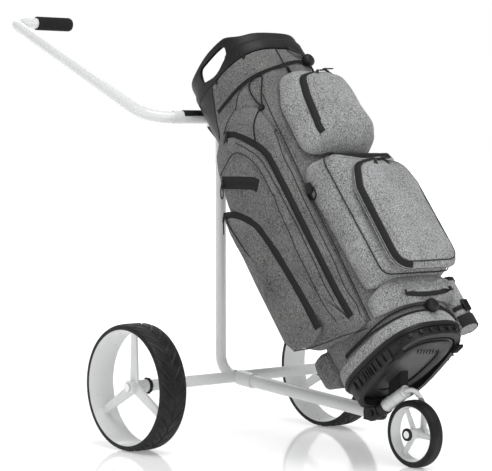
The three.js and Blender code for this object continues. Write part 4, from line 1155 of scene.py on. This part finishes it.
class GOLFBAG_OT_collar(bpy.types.Operator):
    """Builds the moulded collar with its hand holes"""

    bl_idname = "golfbag.collar"
    bl_label = "Collar"

    def execute(self, context):
        count = 180
        turns = [math.tau * i / count for i in range(count)]
        inner, band, rim = -7.0, 4.0, 0.6
        profile = [
            (inner, 0.0, None), (inner, 0.5, None), (inner, None, -6), (inner + 1.2, None, -2.2),
            (inner + 3.6, None, -0.3), (rim - 3.0, None, -0.2), (rim - 0.8, None, -2.0), (rim, None, -6),
            (rim, 0.32, 0), (rim + 0.6, 0.30, None), (band - 0.8, 0.285, None), (band, 0.26, None),
            (band, 0.06, None), (band - 1.2, 0.005, None), (rim, 0.0, None),
        ]
        rings = []
        for offset, share, below in profile:
            ring = []
            for t in turns:
                w, y = around(t, 800, offset)
                top = collar_top(w)
                low = BODY_HEIGHT + 0.3
                if share is None:
                    s = top + below
                elif share <= 0.4 and offset > inner:
                    s = low + share * 95
                else:
                    s = low + share * (top - low)
                w, y = around(t, s, offset)
                ring.append(bag(w, y, s))
            rings.append(ring)
        obj = ring_mesh("collar", rings, join_ends=True)
        outline = rounded_outline(
            [(-56, 785, 15), (0, 766, 70), (44, 782, 20), (54, 813, 13), (-44, 817, 18)], 10
        )
        near = [bag(p.x, -190, p.y) for p in outline]
        far = [bag(p.x, 190, p.y) for p in outline]
        hole = ring_mesh("hand_hole", [near, far])
        only(obj)
        cut = obj.modifiers.new("Hand holes", "BOOLEAN")
        cut.operation, cut.object, cut.solver = "DIFFERENCE", hole, "EXACT"
        bpy.ops.object.modifier_apply(modifier=cut.name)
        bpy.data.objects.remove(hole)
        soft = obj.modifiers.new("Soft edges", "BEVEL")
        soft.width, soft.segments = 0.0016, 2
        soft.limit_method, soft.angle_limit = "ANGLE", math.radians(50)
        bpy.ops.object.modifier_apply(modifier=soft.name)
        finish_piece(obj, "collar", CART, "collar_plastic", 40)
        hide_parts("bag_collar")
        rivets = []
        for side, w, s in ((side, *spot) for side, _ in SIDES for spot in RIVET_SPOTS):
            out = Vector((0, side, 0)) + W_AXIS * (0.4 if w > 50 else 0.0)
            out.normalize()
            reach = side * (side_of_body(w, s) + (4.2 if s > 760 else 1.4))
            profile = [
                (0.0, 0), (0.0042, 0), (0.0046, 0.0006), (0.0042, 0.0018), (0.0022, 0.0026), (0.0, 0.0027),
            ]
            rivets.append(spun("rivet", profile, bag(w, reach, s), out, 20))
        obj = join_pieces(rivets, "collar_rivets")
        finish_piece(obj, "collar_rivets", CART, "black_plastic", 40)
        return {"FINISHED"}


# ------------------------------------------------------------------ side pockets
FAR_OUT = 300.0  # where points start that are dropped onto a side of the bag


def flat(points):
    """Pairs of numbers as points of one plane."""
    return [Vector((a, 0, b)) for a, b in points]


def side_pocket_piece(side, word):
    def place(w, s, height):
        return bag(w, side * height, s)

    def back(w, s):
        return max(76.0, side_of_body(w, s) + 0.9)

    def lip(w, s):
        return 134.0 - 20.0 * smooth(-w, 100, 165) - 8.0 * smooth(s, 560, 640) - 6.0 * smooth(-s, -140, -80)

    def up_wall(w, s, share):
        return blend_value(back(w, s), lip(w, s), share)

    base = [
        (60, 50, 8), (66, 211, 0), (71, 429, 0), (74, 560, 60), (62, 652, 40), (-6, 682, 60),
        (-62, 676, 30), (-118, 628, 40), (-160, 520, 60), (-165, 300, 0), (-165, 150, 50),
        (-110, 92, 40), (-20, 62, 30),
    ]
    edge = [
        (46, 66, 10), (49, 326, 0), (50, 480, 60), (40, 545, 60), (-4, 606, 50), (-50, 642, 16),
        (-104, 616, 40),
        (-150, 510, 60), (-162, 330, 0), (-162, 150, 46), (-104, 101, 40), (-12, 70, 30),
    ]
    panel = Panel(base, (-50, 340))
    ring0 = panel.ring(base)
    ring2 = panel.ring(edge)
    ring1 = [a.lerp(b, 0.55) for a, b in zip(ring0, ring2)]
    ring3 = panel.inset(ring2, 12)
    ring4 = panel.inset(ring3, 13)
    rings = [
        (panel.shrunk(ring0, 0.45), back), (panel.shrunk(ring0, 0.8), back), (ring0, back),
        ([a.lerp(b, 0.3) for a, b in zip(ring0, ring2)], lambda w, s: up_wall(w, s, 0.36)),
        (ring1, lambda w, s: up_wall(w, s, 0.7)),
        (ring2, lip),
        (ring3, lambda w, s: lip(w, s) + 1.5),
        (ring4, lambda w, s: lip(w, s) + 4.0),
        (panel.shrunk(ring4, 0.84), lambda w, s: lip(w, s) + 5.5),
        (panel.shrunk(ring4, 0.66), lambda w, s: lip(w, s) + 6.0),
        (panel.shrunk(ring4, 0.46), lambda w, s: 140.5),
        (panel.shrunk(ring4, 0.26), lambda w, s: 141.0),
        (panel.shrunk(ring4, 0.1), lambda w, s: 141.0),
    ]
    obj = padded_piece(
        f"side_pocket_panel_{word}", place, rings, {0, 1, 2, 5, 6}, "dark_fabric",
        puff=5.0, cap=9.0, ripple=3.2, seed=3.0 + side,
    )
    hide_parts(f"side_pocket_{word}")
    return obj


def side_pouch_piece(side, word):
    def place(w, s, height):
        return bag(w, side * height, s)

    outline = [
        (-30, 98, 14), (-30, 200, 0), (-38, 300, 0), (-50, 384, 40), (-72, 428, 40), (-104, 466, 40),
        (-148, 492, 14), (-160, 440, 20), (-163, 300, 0), (-162, 150, 44), (-140, 112, 30), (-80, 92, 20),
    ]

    def rear(w, value):
        return value - 12.0 * smooth(-w, 120, 164)

    panel = Panel(outline, (-98, 270))
    ring = panel.ring(outline)
    zip_in = panel.inset(ring, 12)
    deep = panel.inset(zip_in, 14)
    rings = [
        (panel.shrunk(ring, 0.5), lambda w, s: 143.0),
        (ring, lambda w, s: rear(w, 142.5)),
        (panel.inset(ring, 1.0), lambda w, s: rear(w, 148.5)),
        (zip_in, lambda w, s: rear(w, 154.0)),
        (deep, lambda w, s: rear(w, 160.5)),
        (panel.shrunk(deep, 0.72), lambda w, s: rear(w, 163.0)),
        (panel.shrunk(deep, 0.45), lambda w, s: rear(w, 165.0)),
        (panel.shrunk(deep, 0.2), lambda w, s: rear(w, 165.5)),
    ]
    obj = padded_piece(
        f"side_pouch_panel_{word}", place, rings, {0, 1, 2, 3}, "dark_fabric",
        puff=4.5, cap=7.0, ripple=2.8, seed=9.0 + side,
    )
    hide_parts(f"side_pouch_{word}")
    return obj


SIDE_ZIPS = {
    "long_zip": [(-46, 634), (-9, 601), (22, 558), (40, 520), (45.5, 473), (44, 326), (41, 84)],
    "pouch_zip": [(-148, 484), (-109, 458), (-79, 423), (-58, 380), (-46, 297), (-38, 199), (-37, 108)],
}


class GOLFBAG_OT_side_pockets(bpy.types.Operator):
    """Builds the padded pockets on both sides of the bag with their zips and seams"""

    bl_idname = "golfbag.side_pockets"
    bl_label = "Side pockets"

    def execute(self, context):
        radius = context.scene.bag_fabric.piping
        for side, word in SIDES:
            big = side_pocket_piece(side, word)
            pouch = side_pouch_piece(side, word)
            tree = surface_of(big, pouch, bpy.data.objects["bag_skin"])
            heading = Vector((0, -side, 0))

            def drop(points, lift=0.6):
                return laid(tree, [bag(p.x, side * FAR_OUT, p.z) for p in points], heading, lift)

            runs = {name: drop(through(flat(points))) for name, points in SIDE_ZIPS.items()}
            zip_strip(f"side_zip_{word}", runs["long_zip"], 15.0)
            zip_strip(f"pouch_zip_{word}", runs["pouch_zip"], 15.5)
            down = -UP
            for name, run in runs.items():
                point, normal = run[1]
                puller(f"{name}_pull_{word}", point, normal, down, 1.2)

            seams = []
            for points in (
                [(-100, 560), (-40, 572), (-8, 548), (12, 500), (16, 430), (6, 290), (4, 96)],
                [(60, 60), (66, 211), (71, 429), (75, 560), (77, 652)],
                [(54, 60), (60, 211), (65, 429), (69, 540), (70, 560)],
                [(26, 90), (30, 300), (30, 470), (22, 520), (2, 560), (-20, 590)],
                [(62, 706), (30, 690), (-4, 664), (-30, 650), (-52, 640)],
                [(-166, 152), (-146, 122), (-100, 100), (-10, 68), (46, 50)],
            ):
                seams.append([p for p, _ in drop(through(flat(points)), 0.5)])
            parts = [cord_mesh("seam", run, radius * 0.8, 8) for run in seams if len(run) > 3]
            obj = join_pieces(parts, f"side_piping_{word}")
            finish_piece(obj, obj.name, CART, "piping", 60)
            rows = []
            for points in (
                [(-96, 552), (-42, 563), (-14, 542), (5, 498), (9, 430), (-1, 290), (-3, 98)],
                [(34, 92), (37, 300), (37, 470), (29, 522), (8, 566), (-22, 600)],
                [(53, 92), (57, 300), (60, 470), (58, 540), (36, 590), (0, 628), (-44, 652)],
                [(-40, 108), (-40, 198), (-48, 294), (-60, 378), (-80, 416), (-106, 448), (-148, 474)],
                [(-160, 160), (-142, 130), (-98, 108), (-10, 76), (40, 60)],
            ):
                rows.append(drop(through(flat(points)), 0.2))
            stitches(f"side_stitches_{word}", rows)

            places = ((-103, 543), (-80, 525), (-60, 510), (-40, 494), (-20, 478), (-8, 463))
            middle = [bag(w, side * FAR_OUT, s) for w, s in places]
            run = laid(tree, through(middle), heading, 0.5)
            strip = ribbon(f"chest_zip_{word}", run, 28.0, TAPE_SHAPE)
            finish_piece(strip, f"chest_zip_{word}", CART, "zip", 60)
            line = ribbon(f"chest_zip_teeth_{word}", [(p + n * 1.0 * MM, n) for p, n in run], 5.0, ZIP_SHAPE)
            finish_piece(line, f"chest_zip_teeth_{word}", CART, "zip", 60)
            puller(f"chest_pull_{word}", run[1][0], run[1][1], down, 1.0)
        return {"FINISHED"}


# ------------------------------------------------------------------ front pockets
def front_place(y, s, height):
    return bag(height, y, s)


def body_front(y, s):
    return max(40.0, front_of_body(y, s) + 0.9)


def front_pocket(name, node, base, edge, centre, heights, inset, puff, cap, seed):
    """heights: edge of the side wall, inner side of the zip, shoulder, face."""
    panel = Panel(base, centre)
    ring0, ring1 = panel.ring(base), panel.ring(edge)
    ring2 = panel.inset(ring1, inset)
    ring3 = panel.inset(ring2, inset)
    wall, lip, shoulder, face = heights

    def up_wall(y, s, share):
        return blend_value(body_front(y, s), wall, share)

    rings = [
        (panel.shrunk(ring0, 0.5), body_front), (ring0, body_front),
        ([a.lerp(b, 0.35) for a, b in zip(ring0, ring1)], lambda y, s: up_wall(y, s, 0.4)),
        ([a.lerp(b, 0.72) for a, b in zip(ring0, ring1)], lambda y, s: up_wall(y, s, 0.74)),
        (ring1, wall), (ring2, lip), (ring3, shoulder),
        (panel.shrunk(ring3, 0.8), blend_value(shoulder, face, 0.55)),
        (panel.shrunk(ring3, 0.55), blend_value(shoulder, face, 0.9)),
        (panel.shrunk(ring3, 0.3), face), (panel.shrunk(ring3, 0.12), face),
    ]
    obj = padded_piece(
        name, front_place, rings, {0, 1, 4, 5}, "light_fabric",
        puff=puff, cap=cap, ripple=1.1, seed=seed,
    )
    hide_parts(node)
    return obj, ring1, ring2


class GOLFBAG_OT_front_pockets(bpy.types.Operator):
    """Builds the padded pockets down the front of the bag with their zips and seams"""

    bl_idname = "golfbag.front_pockets"
    bl_label = "Front pockets"

    def execute(self, context):
        radius = context.scene.bag_fabric.piping
        full = context.scene.bag_fabric.fullness
        upper, upper_edge, upper_lip = front_pocket(
            "upper_pouch_panel", "upper_pouch",
            [
                (-92, 444, 44), (98, 444, 44), (96, 600, 30), (74, 672, 44), (3, 690, 60), (-68, 672, 44),
                (-90, 600, 30),
            ],
            [
                (-84, 456, 40), (92, 456, 40), (80, 590, 30), (64, 636, 38), (3, 654, 60), (-52, 638, 38),
                (-68, 580, 30),
            ],
            (3, 556), (156.0, 167.0, 181.0, 189.0), 10, full, 8.0, 21.0,
        )
        lower, lower_edge, _ = front_pocket(
            "lower_pocket_panel", "lower_pocket",
            [(-100, 104, 18), (106, 104, 18), (110, 440, 20), (-104, 440, 20)],
            [(-98, 114, 24), (104, 114, 24), (106, 430, 34), (-100, 430, 34)],
            (3, 270), (146.0, 162.0, 170.0, 171.5), 11, full * 0.7, 5.0, 33.0,
        )
        outline = [
            (-95, 102, 44), (97, 102, 44), (97, 318, 30), (82, 374, 46), (3, 390, 50), (-62, 374, 46),
            (-90, 310, 30),
        ]
        panel = Panel(outline, (3, 240))
        base = panel.ring(outline)
        inner = panel.inset(base, 10)
        deep = panel.inset(inner, 11)
        rings = [
            (panel.shrunk(base, 0.5), 173.2), (base, 173.2), (panel.inset(base, -0.5), 181.0),
            (panel.inset(base, 1.0), 187.0),
            (inner, 195.0), (deep, 202.5), (panel.shrunk(deep, 0.8), 205.5),
            (panel.shrunk(deep, 0.55), 207.5), (panel.shrunk(deep, 0.3), 208.0), (panel.shrunk(deep, 0.12), 208.0),
        ]
        ball = padded_piece(
            "ball_pocket_panel", front_place, rings, {0, 1, 3, 4}, "light_fabric",
            puff=full, cap=6.5, ripple=0.9, seed=41.0,
        )
        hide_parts("ball_pocket")
        slot, _, _ = front_pocket(
            "slot_pocket_panel", "slot_pocket",
            [
                (-106, 48, 16), (110, 48, 16), (112, 100, 16), (84, 118, 20), (3, 121, 30), (-76, 118, 20),
                (-104, 100, 16),
            ],
            [
                (-84, 58, 12), (90, 58, 12), (92, 98, 14), (64, 114, 16), (3, 117, 26), (-56, 113, 16),
                (-84, 96, 14),
            ],
            (3, 80), (137.0, 145.0, 149.0, 150.5), 9, full * 0.5, 3.0, 57.0,
        )
        skin = bpy.data.objects["bag_skin"]
        tree = surface_of(upper, lower, ball, slot, skin)
        heading = -W_AXIS

        def drop(points, lift=0.6):
            return laid(tree, [bag(330, p[0], p[2]) for p in points], heading, lift)

        def on_ring(ring_a, ring_b, height_a, height_b, keep):
            """Stations midway between two sewn rings, for the stretch that keep accepts."""
            stations = []
            for a, b in zip(ring_a, ring_b):
                low, high = bag(height_a, a.x, a.y), bag(height_b, b.x, b.y)
                across = (high - low).normalized()
                stations.append(((low + high) / 2, across, (a + b) / 2))
            count = len(stations)
            kept = [keep(m.x, m.y) for _, _, m in stations]
            start = next((i for i in range(count) if kept[i] and not kept[i - 1]), 0)
            run = []
            for k in range(count):
                i = (start + k) % count
                if not kept[i]:
                    break
                along = (stations[(i + 1) % count][0] - stations[i - 1][0]).normalized()
                normal = along.cross(stations[i][1]).normalized()
                if normal.dot(W_AXIS) < 0 and abs(normal.dot(W_AXIS)) > 0.05:
                    normal.negate()
                run.append((stations[i][0] + normal * 0.8 * MM, normal))
            return run

        upper_zip = on_ring(upper_edge, upper_lip, 156.0, 167.0, lambda y, s: y < 22 and s > 476)
        zip_strip("upper_pouch_zip", upper_zip, 15.0)
        ball_zip = on_ring(
            panel.inset(base, 1.0), inner, 187.0, 195.0, lambda y, s: y < 4 and (s > 112 or y < -50)
        )
        zip_strip("ball_pocket_zip", ball_zip, 15.0)
        places = ((-80, 424), (-60, 417), (-34, 413), (0, 411), (40, 411), (80, 412))
        top_zip = drop(through(flat(places)), 0.8)
        zip_strip("lower_pocket_zip", top_zip, 12.0)
        down = (-S_AXIS - W_AXIS * 0.1).normalized()
        across = Vector((0, 1, 0))
        for name, y, top in (("upper_pouch", -4, 634), ("ball_pocket", -4, 370)):
            ways = (down - across * 0.5, across + S_AXIS * 0.1, down + across * 0.6)
            for letter, step, way in zip("abc", (-8, 4, 16), ways):
                point, normal = drop([Vector((y + step, 0, top - abs(step - 4) * 0.1))])[0]
                puller(f"{name}_pull_{letter}", point, normal, way.normalized(), 0.95)
        point, normal = top_zip[2]
        puller("lower_pocket_pull", point, normal, (-S_AXIS * 0.3 - Vector((0, 1, 0))).normalized(), 1.1)

        def ring_cord(ring, height):
            return [bag(height, p.x, p.y) for p in ring]

        def open_cord(ring, height, low):
            """The ring without its stretch below a height."""
            start = next(i for i, p in enumerate(ring) if p.y > low and ring[i - 1].y <= low)
            turned = ring[start:] + ring[:start]
            return ring_cord([p for p in turned if p.y > low], height)

        parts = [
            cord_mesh("seam", ring_cord(inner, 195.6), radius, 8, closed=True),
            cord_mesh("seam", ring_cord(panel.inset(base, 0.2), 182.0), radius * 0.8, 8, closed=True),
            cord_mesh("seam", open_cord(upper_lip, 167.8, 505), radius, 8),
            cord_mesh("seam", ring_cord(lower_edge, 147.4), radius, 8, closed=True),
        ]
        obj = join_pieces(parts, "front_piping")
        finish_piece(obj, "front_piping", CART, "piping", 60)
        rows = [
            drop(through(flat(points)), 0.2)
            for points in (
                [
                    (-74, 120), (-70, 240), (-62, 318), (-44, 352), (3, 362), (60, 352), (74, 316),
                    (77, 230), (78, 124),
                ],
                [(-62, 484), (-50, 560), (-40, 608), (3, 628), (48, 608), (58, 560), (68, 484)],
                [(-92, 404), (3, 400), (98, 404)],
                [(-62, 74), (-46, 93), (-10, 104), (30, 105), (60, 94), (72, 78)],
            )
        ]
        stitches("front_stitches", rows)
        run = drop(through(flat([(-66, 68), (-30, 65), (3, 64), (40, 65), (74, 69)])), 0.8)
        lip = ribbon("slot_lip", run, 10.0, TAPE_SHAPE)
        finish_piece(lip, "slot_lip", CART, "black_cord", 60)
        return {"FINISHED"}


class GOLFBAG_OT_back_bolster(bpy.types.Operator):
    """Builds the bolster low on the bag's back"""

    bl_idname = "golfbag.back_bolster"
    bl_label = "Back bolster"

    def execute(self, context):
        def place(y, s, height):
            return bag(-height, y, s)

        def back(y, s):
            return max(70.0, -(2 * section(s)[0] - front_of_body(y, s)) + 0.9)

        outline = [(-98, 14, 18), (98, 14, 18), (98, 96, 18), (-98, 96, 18)]
        panel = Panel(outline, (0, 54))
        ring = panel.ring(outline)
        inner = panel.inset(ring, 10)
        deep = panel.inset(inner, 10)
        rings = [
            (panel.shrunk(ring, 0.5), back), (ring, back), (panel.inset(ring, 2), 148.0),
            (inner, 155.0), (deep, 157.5), (panel.shrunk(deep, 0.5), 158.5),
        ]
        obj = padded_piece(
            "back_bolster_pad", place, rings, {0, 1, 2}, "dark_fabric",
            puff=2.0, cap=4.0, ripple=1.0, seed=71.0,
        )
        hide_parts("back_bolster")
        return {"FINISHED"}


# ------------------------------------------------------------------ cords and fittings
UPPER_CORD_S = 700
LOWER_CORD_S = 35
KNOB_Y = 46
KNOB_RISE = 22
STRAND_RADIUS = 2.0
STRAND_SPREAD = 2.1


def cord_height_upper(y):
    """The upper cord rises to its toggle."""
    reach = max(-1.0, min(1.0, (y - KNOB_Y) / 130))
    return UPPER_CORD_S + KNOB_RISE * math.cos(reach * math.pi / 2) ** 2


def cord_height_lower(w, y):
    """The lower cord falls towards its ends."""
    return LOWER_CORD_S - 22 * smooth(y, 20, 75) - 8 * smooth(-w, 30, 90)


class GOLFBAG_OT_cords(bpy.types.Operator):
    """Builds the elastic cords, their toggles and the hood's draw cord"""

    bl_idname = "golfbag.cords"
    bl_label = "Cords"

    def execute(self, context):
        turns = [math.radians(-107 + 214 * k / 90) for k in range(91)]
        for share, word in ((-1, "a"), (1, "b")):
            run = []
            for t in turns:
                w, y = around(t, UPPER_CORD_S, 2.4)
                s = cord_height_upper(y) + share * STRAND_SPREAD
                w, y = around(t, s, 2.4)
                run.append(bag(w, y, s))
            obj = cord_mesh(f"upper_cord_{word}", run, STRAND_RADIUS * MM, 12)
            finish_piece(obj, obj.name, CART, "elastic", 60)
            if word == "a":
                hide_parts("upper_bungee")
            run = []
            for k in range(81):
                t = math.radians(-112 + 152 * k / 80)
                w, y = around(t, 32, 4.6)
                spread = STRAND_SPREAD + 4.2 * smooth(w, 20, 110) * (1 - smooth(y, 0, 60))
                s = cord_height_lower(w, y) + share * spread + 1.5
                w, y = around(t, s, 4.6 if s < 30 else 3.4)
                run.append(bag(w, y, s))
            obj = cord_mesh(f"lower_cord_{word}", run, STRAND_RADIUS * MM, 12)
            finish_piece(obj, obj.name, CART, "elastic", 60)
            if word == "a":
                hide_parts("lower_bungee")
        profile = [
            (0.0, 0.0), (0.009, 0.0), (0.0135, 0.0035), (0.0155, 0.009), (0.0155, 0.0125), (0.0138, 0.0175),
            (0.0105, 0.0205), (0.0062, 0.0212), (0.0055, 0.0198), (0.0, 0.0196),
        ]
        t = math.radians(24)
        upper_s = UPPER_CORD_S + KNOB_RISE
        for node, turn, s in (("upper_knob", t, upper_s), ("lower_knob", 0, LOWER_CORD_S)):
            w, y = around(turn, s, 4.5)
            out = (W_AXIS + Vector((0, y * 0.004, 0))).normalized()
            obj = spun(node + "_toggle", profile, bag(w, y, s) - out * 4 * MM, out, 40)
            finish_piece(obj, node + "_toggle", CART, "black_plastic", 30)
            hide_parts(node)

        loop = [
            (66, 626), (74, 652), (84, 678), (88, 692), (76, 697), (62, 692), (56, 676), (58, 650), (64, 626),
        ]
        tail = [(64, 626), (52, 604), (42, 584), (34, 562), (28, 546)]
        cords = []
        tree = surface_of(bpy.data.objects["side_pocket_panel_right"], bpy.data.objects["bag_skin"])
        for points in (loop, tail):
            run = [p for p, _ in laid(tree, [bag(w, -FAR_OUT, s) for w, s in points], LEFT, 1.8)]
            cords.append(cord_mesh("draw", through(run, 6), 1.6 * MM, 10))
        obj = join_pieces(cords, "hood_draw_cord")
        finish_piece(obj, "hood_draw_cord", CART, "elastic", 60)
        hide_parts("draw_cord")
        lock = spun(
            "hood_cord_lock",
            [
                (0.0, 0.0), (0.006, 0.0), (0.0072, 0.0012), (0.0072, 0.0085), (0.0052, 0.0105),
                (0.003, 0.0116), (0.0, 0.0118),
            ],
            bag(65, -(side_of_body(65, 624) - 1.0), 624), Vector((0, -1, 0)), 32,
        )
        finish_piece(lock, "hood_cord_lock", CART, "black_plastic", 30)
        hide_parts("cord_lock")
        tether = through([bag(*around(math.radians(-9), s, 2.5), s) for s in (757, 738, 716, 700)], 6)
        obj = cord_mesh("tether", tether, 1.1 * MM, 8)
        bullet = spun(
            "bullet",
            [(0.0, 0.0), (0.0022, 0.001), (0.0034, 0.005), (0.0034, 0.014), (0.0018, 0.018), (0.0, 0.0182)],
            bag(*around(math.radians(-8), 702, 4.4), 702), -S_AXIS, 20,
        )
        obj = join_pieces([obj, bullet], "front_tether")
        finish_piece(obj, "front_tether", CART, "elastic", 50)
        return {"FINISHED"}


PANEL_FACE_S = -30.0  # the flat face of the base's inset panel, along the bag


def base_rib(turn, s, offset, at, size, bevel):
    """A rib on the base's wall, turned square to it."""
    w, y = around(turn, s, offset)
    ahead = around(turn + 0.02, s, offset)
    along = (W_AXIS * (ahead[0] - w) + Vector((0, ahead[1] - y, 0))).normalized()
    out = along.cross(S_AXIS).normalized()
    if out.dot(W_AXIS * w + Vector((0, y, 0))) < 0:
        out.negate()
    return block("rib", size, bag(w, y, at), axes(along, out, along.cross(out)), bevel, 2)


class GOLFBAG_OT_fittings(bpy.types.Operator):
    """Builds the webbing loop, ring tabs, umbrella cup and base ribs"""

    bl_idname = "golfbag.fittings"
    bl_label = "Fittings"

    def execute(self, context):
        run = []
        for k in range(33):
            angle = math.pi * k / 32
            y = 46 - 29 * math.cos(angle)
            s = 762 - 17 * math.sin(angle)
            ahead = around(math.atan2(y, 100), 752, 5.0 + 5 * math.sin(angle))[0]
            run.append((bag(ahead, y, s), W_AXIS.copy()))
        loop = ribbon("front_webbing_loop", run, 9.0, TAPE_SHAPE)
        finish_piece(loop, "front_webbing_loop", CART, "black_cord", 60)
        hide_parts("front_loop")

        for side, word in SIDES:
            lo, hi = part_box(f"d_ring_tab_{word}")
            middle = (lo + hi) / 2
            near = middle + Vector((0, -side * 2.2 * MM, 0))
            tab = block(f"ring_tab_{word}", (15 * MM, 3 * MM, 22 * MM), near, BAG_TURN, 0.8 * MM)
            far = middle + Vector((0, side * 3.0 * MM, 0))
            front = block("tab_front", (15 * MM, 1.4 * MM, 22 * MM), far, BAG_TURN, 0.5 * MM)
            barrel = spun(
                "tab_barrel", [(0.0026, 0), (0.0040, 0), (0.0040, 0.015), (0.0026, 0.015), (0.0026, 0)],
                bag(74.5, 3 + side * 109, 380), W_AXIS.copy(), 24,
            )
            obj = join_pieces([tab, front, barrel], f"ring_tab_{word}")
            finish_piece(obj, f"ring_tab_{word}", CART, "black_cord", 40)
            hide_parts(f"d_ring_tab_{word}")

        cup_w, cup_y, outer = 110.0, 104.0, 24.6
        profile = [
            (15.2, -6), (15.2, 107), (16.2, 108.4), (20, 109), (outer - 1.0, 108.4), (outer + 0.2, 106.5),
            (outer + 0.2, 98.5), (outer - 0.8, 97), (outer - 0.4, 60), (outer - 1.0, 20), (outer - 0.6, -6),
            (outer - 2, -13), (4.0, -14),
        ]
        rings = []
        for r, s in profile:
            ring = []
            for k in range(64):
                angle = math.tau * k / 64
                x, y = cup_w + r * math.cos(angle), cup_y + r * math.sin(angle)
                if r > 18:
                    limit_x, limit_y = around(math.atan2(y, x + 2), max(0, min(s, 740)), 1.2)
                    if math.hypot(x + 2, y) < math.hypot(limit_x + 2, limit_y):
                        x, y = limit_x, limit_y
                ring.append(bag(x, y, s))
            rings.append(ring)
        cup = ring_mesh("umbrella_sleeve", rings)
        finish_piece(cup, "umbrella_sleeve", CART, "light_fabric", 40)
        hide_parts("umbrella_cup")
        bands = []
        for low_s, high_s in ((-13, 14), (26, 36), (98, 107)):
            ring = []
            for k in range(49):
                angle = math.radians(-68 + 200 * k / 48)
                out = W_AXIS * math.cos(angle) + Vector((0, math.sin(angle), 0))
                centre = bag(cup_w, cup_y, (low_s + high_s) / 2)
                ring.append((centre + out * (outer + 0.6) * MM, out))
            bands.append(ribbon("band", ring, high_s - low_s, TAPE_SHAPE))
        obj = join_pieces(bands, "umbrella_bands")
        finish_piece(obj, "umbrella_bands", CART, "black_cord", 50)

        ribs = []
        for side in (-1, 1):
            for k in range(8):
                turn = math.radians(side * (58 + 9.5 * k))
                ribs.append(base_rib(turn, -24, -1.5, -24, (3.2 * MM, 4.0 * MM, 22 * MM), 1.0 * MM))
        for k in range(9):
            turn = math.radians(-44 + 11 * k)
            ribs.append(base_rib(turn, -19, 0.4, -17, (9 * MM, 2.6 * MM, 8 * MM), 0.8 * MM))
        frame_rings = []
        for offset, drop in ((-26, 0.2), (-26, 3.0), (-28, 4.2), (-49, 4.2), (-52, 2.6), (-52, 0.2)):
            ring = []
            for k in range(120):
                w, y = around(math.tau * k / 120, -24, offset)
                ring.append(bag(w, y, PANEL_FACE_S - drop))
            frame_rings.append(ring)
        ribs.append(ring_mesh("rim", frame_rings, join_ends=True))
        for k in range(7):
            across = W_AXIS * 0.5 + Vector((0, 0.87, 0))
            spin = axes(across, W_AXIS * 0.87 - Vector((0, 0.5, 0)), S_AXIS * -1)
            w, y = 74 - 1.6 * k, -30 + 10 * k
            at = bag(w, y, PANEL_FACE_S - 4.8)
            ribs.append(block("vent", (2.6 * MM, 17 * MM, 3 * MM), at, spin, 0.8 * MM, 2))
        obj = join_pieces(ribs, "base_ribs")
        finish_piece(obj, "base_ribs", CART, "black_plastic", 30)
        rims = []
        for offset, s, thick in ((3.2, -4.5, 1.6), (-1.0, -12.5, 1.2)):
            ring = [bag(*around(math.tau * k / 140, s, offset), s) for k in range(140)]
            rims.append(cord_mesh("bead", ring, thick * MM, 8, closed=True))
        obj = join_pieces(rims, "base_beads")
        finish_piece(obj, "base_beads", CART, "black_plastic", 50)
        return {"FINISHED"}


# ------------------------------------------------------------------ panel and registration
STEPS = (
    GOLFBAG_OT_stage, GOLFBAG_OT_cart_finish, GOLFBAG_OT_tyres, GOLFBAG_OT_grip, GOLFBAG_OT_hub_details,
    GOLFBAG_OT_skin, GOLFBAG_OT_collar, GOLFBAG_OT_side_pockets, GOLFBAG_OT_front_pockets,
    GOLFBAG_OT_back_bolster, GOLFBAG_OT_cords, GOLFBAG_OT_fittings,
)
GROUPS = (BagFabricLook, CartLook, StudioLook)


class GOLFBAG_PT_panel(bpy.types.Panel):
    """Lists the sizes and the building steps"""

    bl_label = "Golf cart"
    bl_idname = "GOLFBAG_PT_panel"
    bl_space_type = "VIEW_3D"
    bl_region_type = "UI"
    bl_category = "Golf cart"

    def draw(self, context):
        scene = context.scene
        for group in (scene.bag_fabric, scene.bag_cart, scene.bag_studio):
            column = self.layout.column(align=True)
            for name in group.__annotations__:
                column.prop(group, name)
        for step in STEPS:
            self.layout.operator(step.bl_idname)


def register():
    for cls in (*GROUPS, *STEPS, GOLFBAG_PT_panel):
        bpy.utils.register_class(cls)
    bpy.types.Scene.bag_fabric = bpy.props.PointerProperty(type=BagFabricLook)
    bpy.types.Scene.bag_cart = bpy.props.PointerProperty(type=CartLook)
    bpy.types.Scene.bag_studio = bpy.props.PointerProperty(type=StudioLook)


def unregister():
    del bpy.types.Scene.bag_studio
    del bpy.types.Scene.bag_cart
    del bpy.types.Scene.bag_fabric
    for cls in reversed((*GROUPS, *STEPS, GOLFBAG_PT_panel)):
        bpy.utils.unregister_class(cls)


def main():
    register()
    for step in STEPS:
        group, name = step.bl_idname.split(".")
        getattr(getattr(bpy.ops, group), name)()


if __name__ == "__main__":
    main()
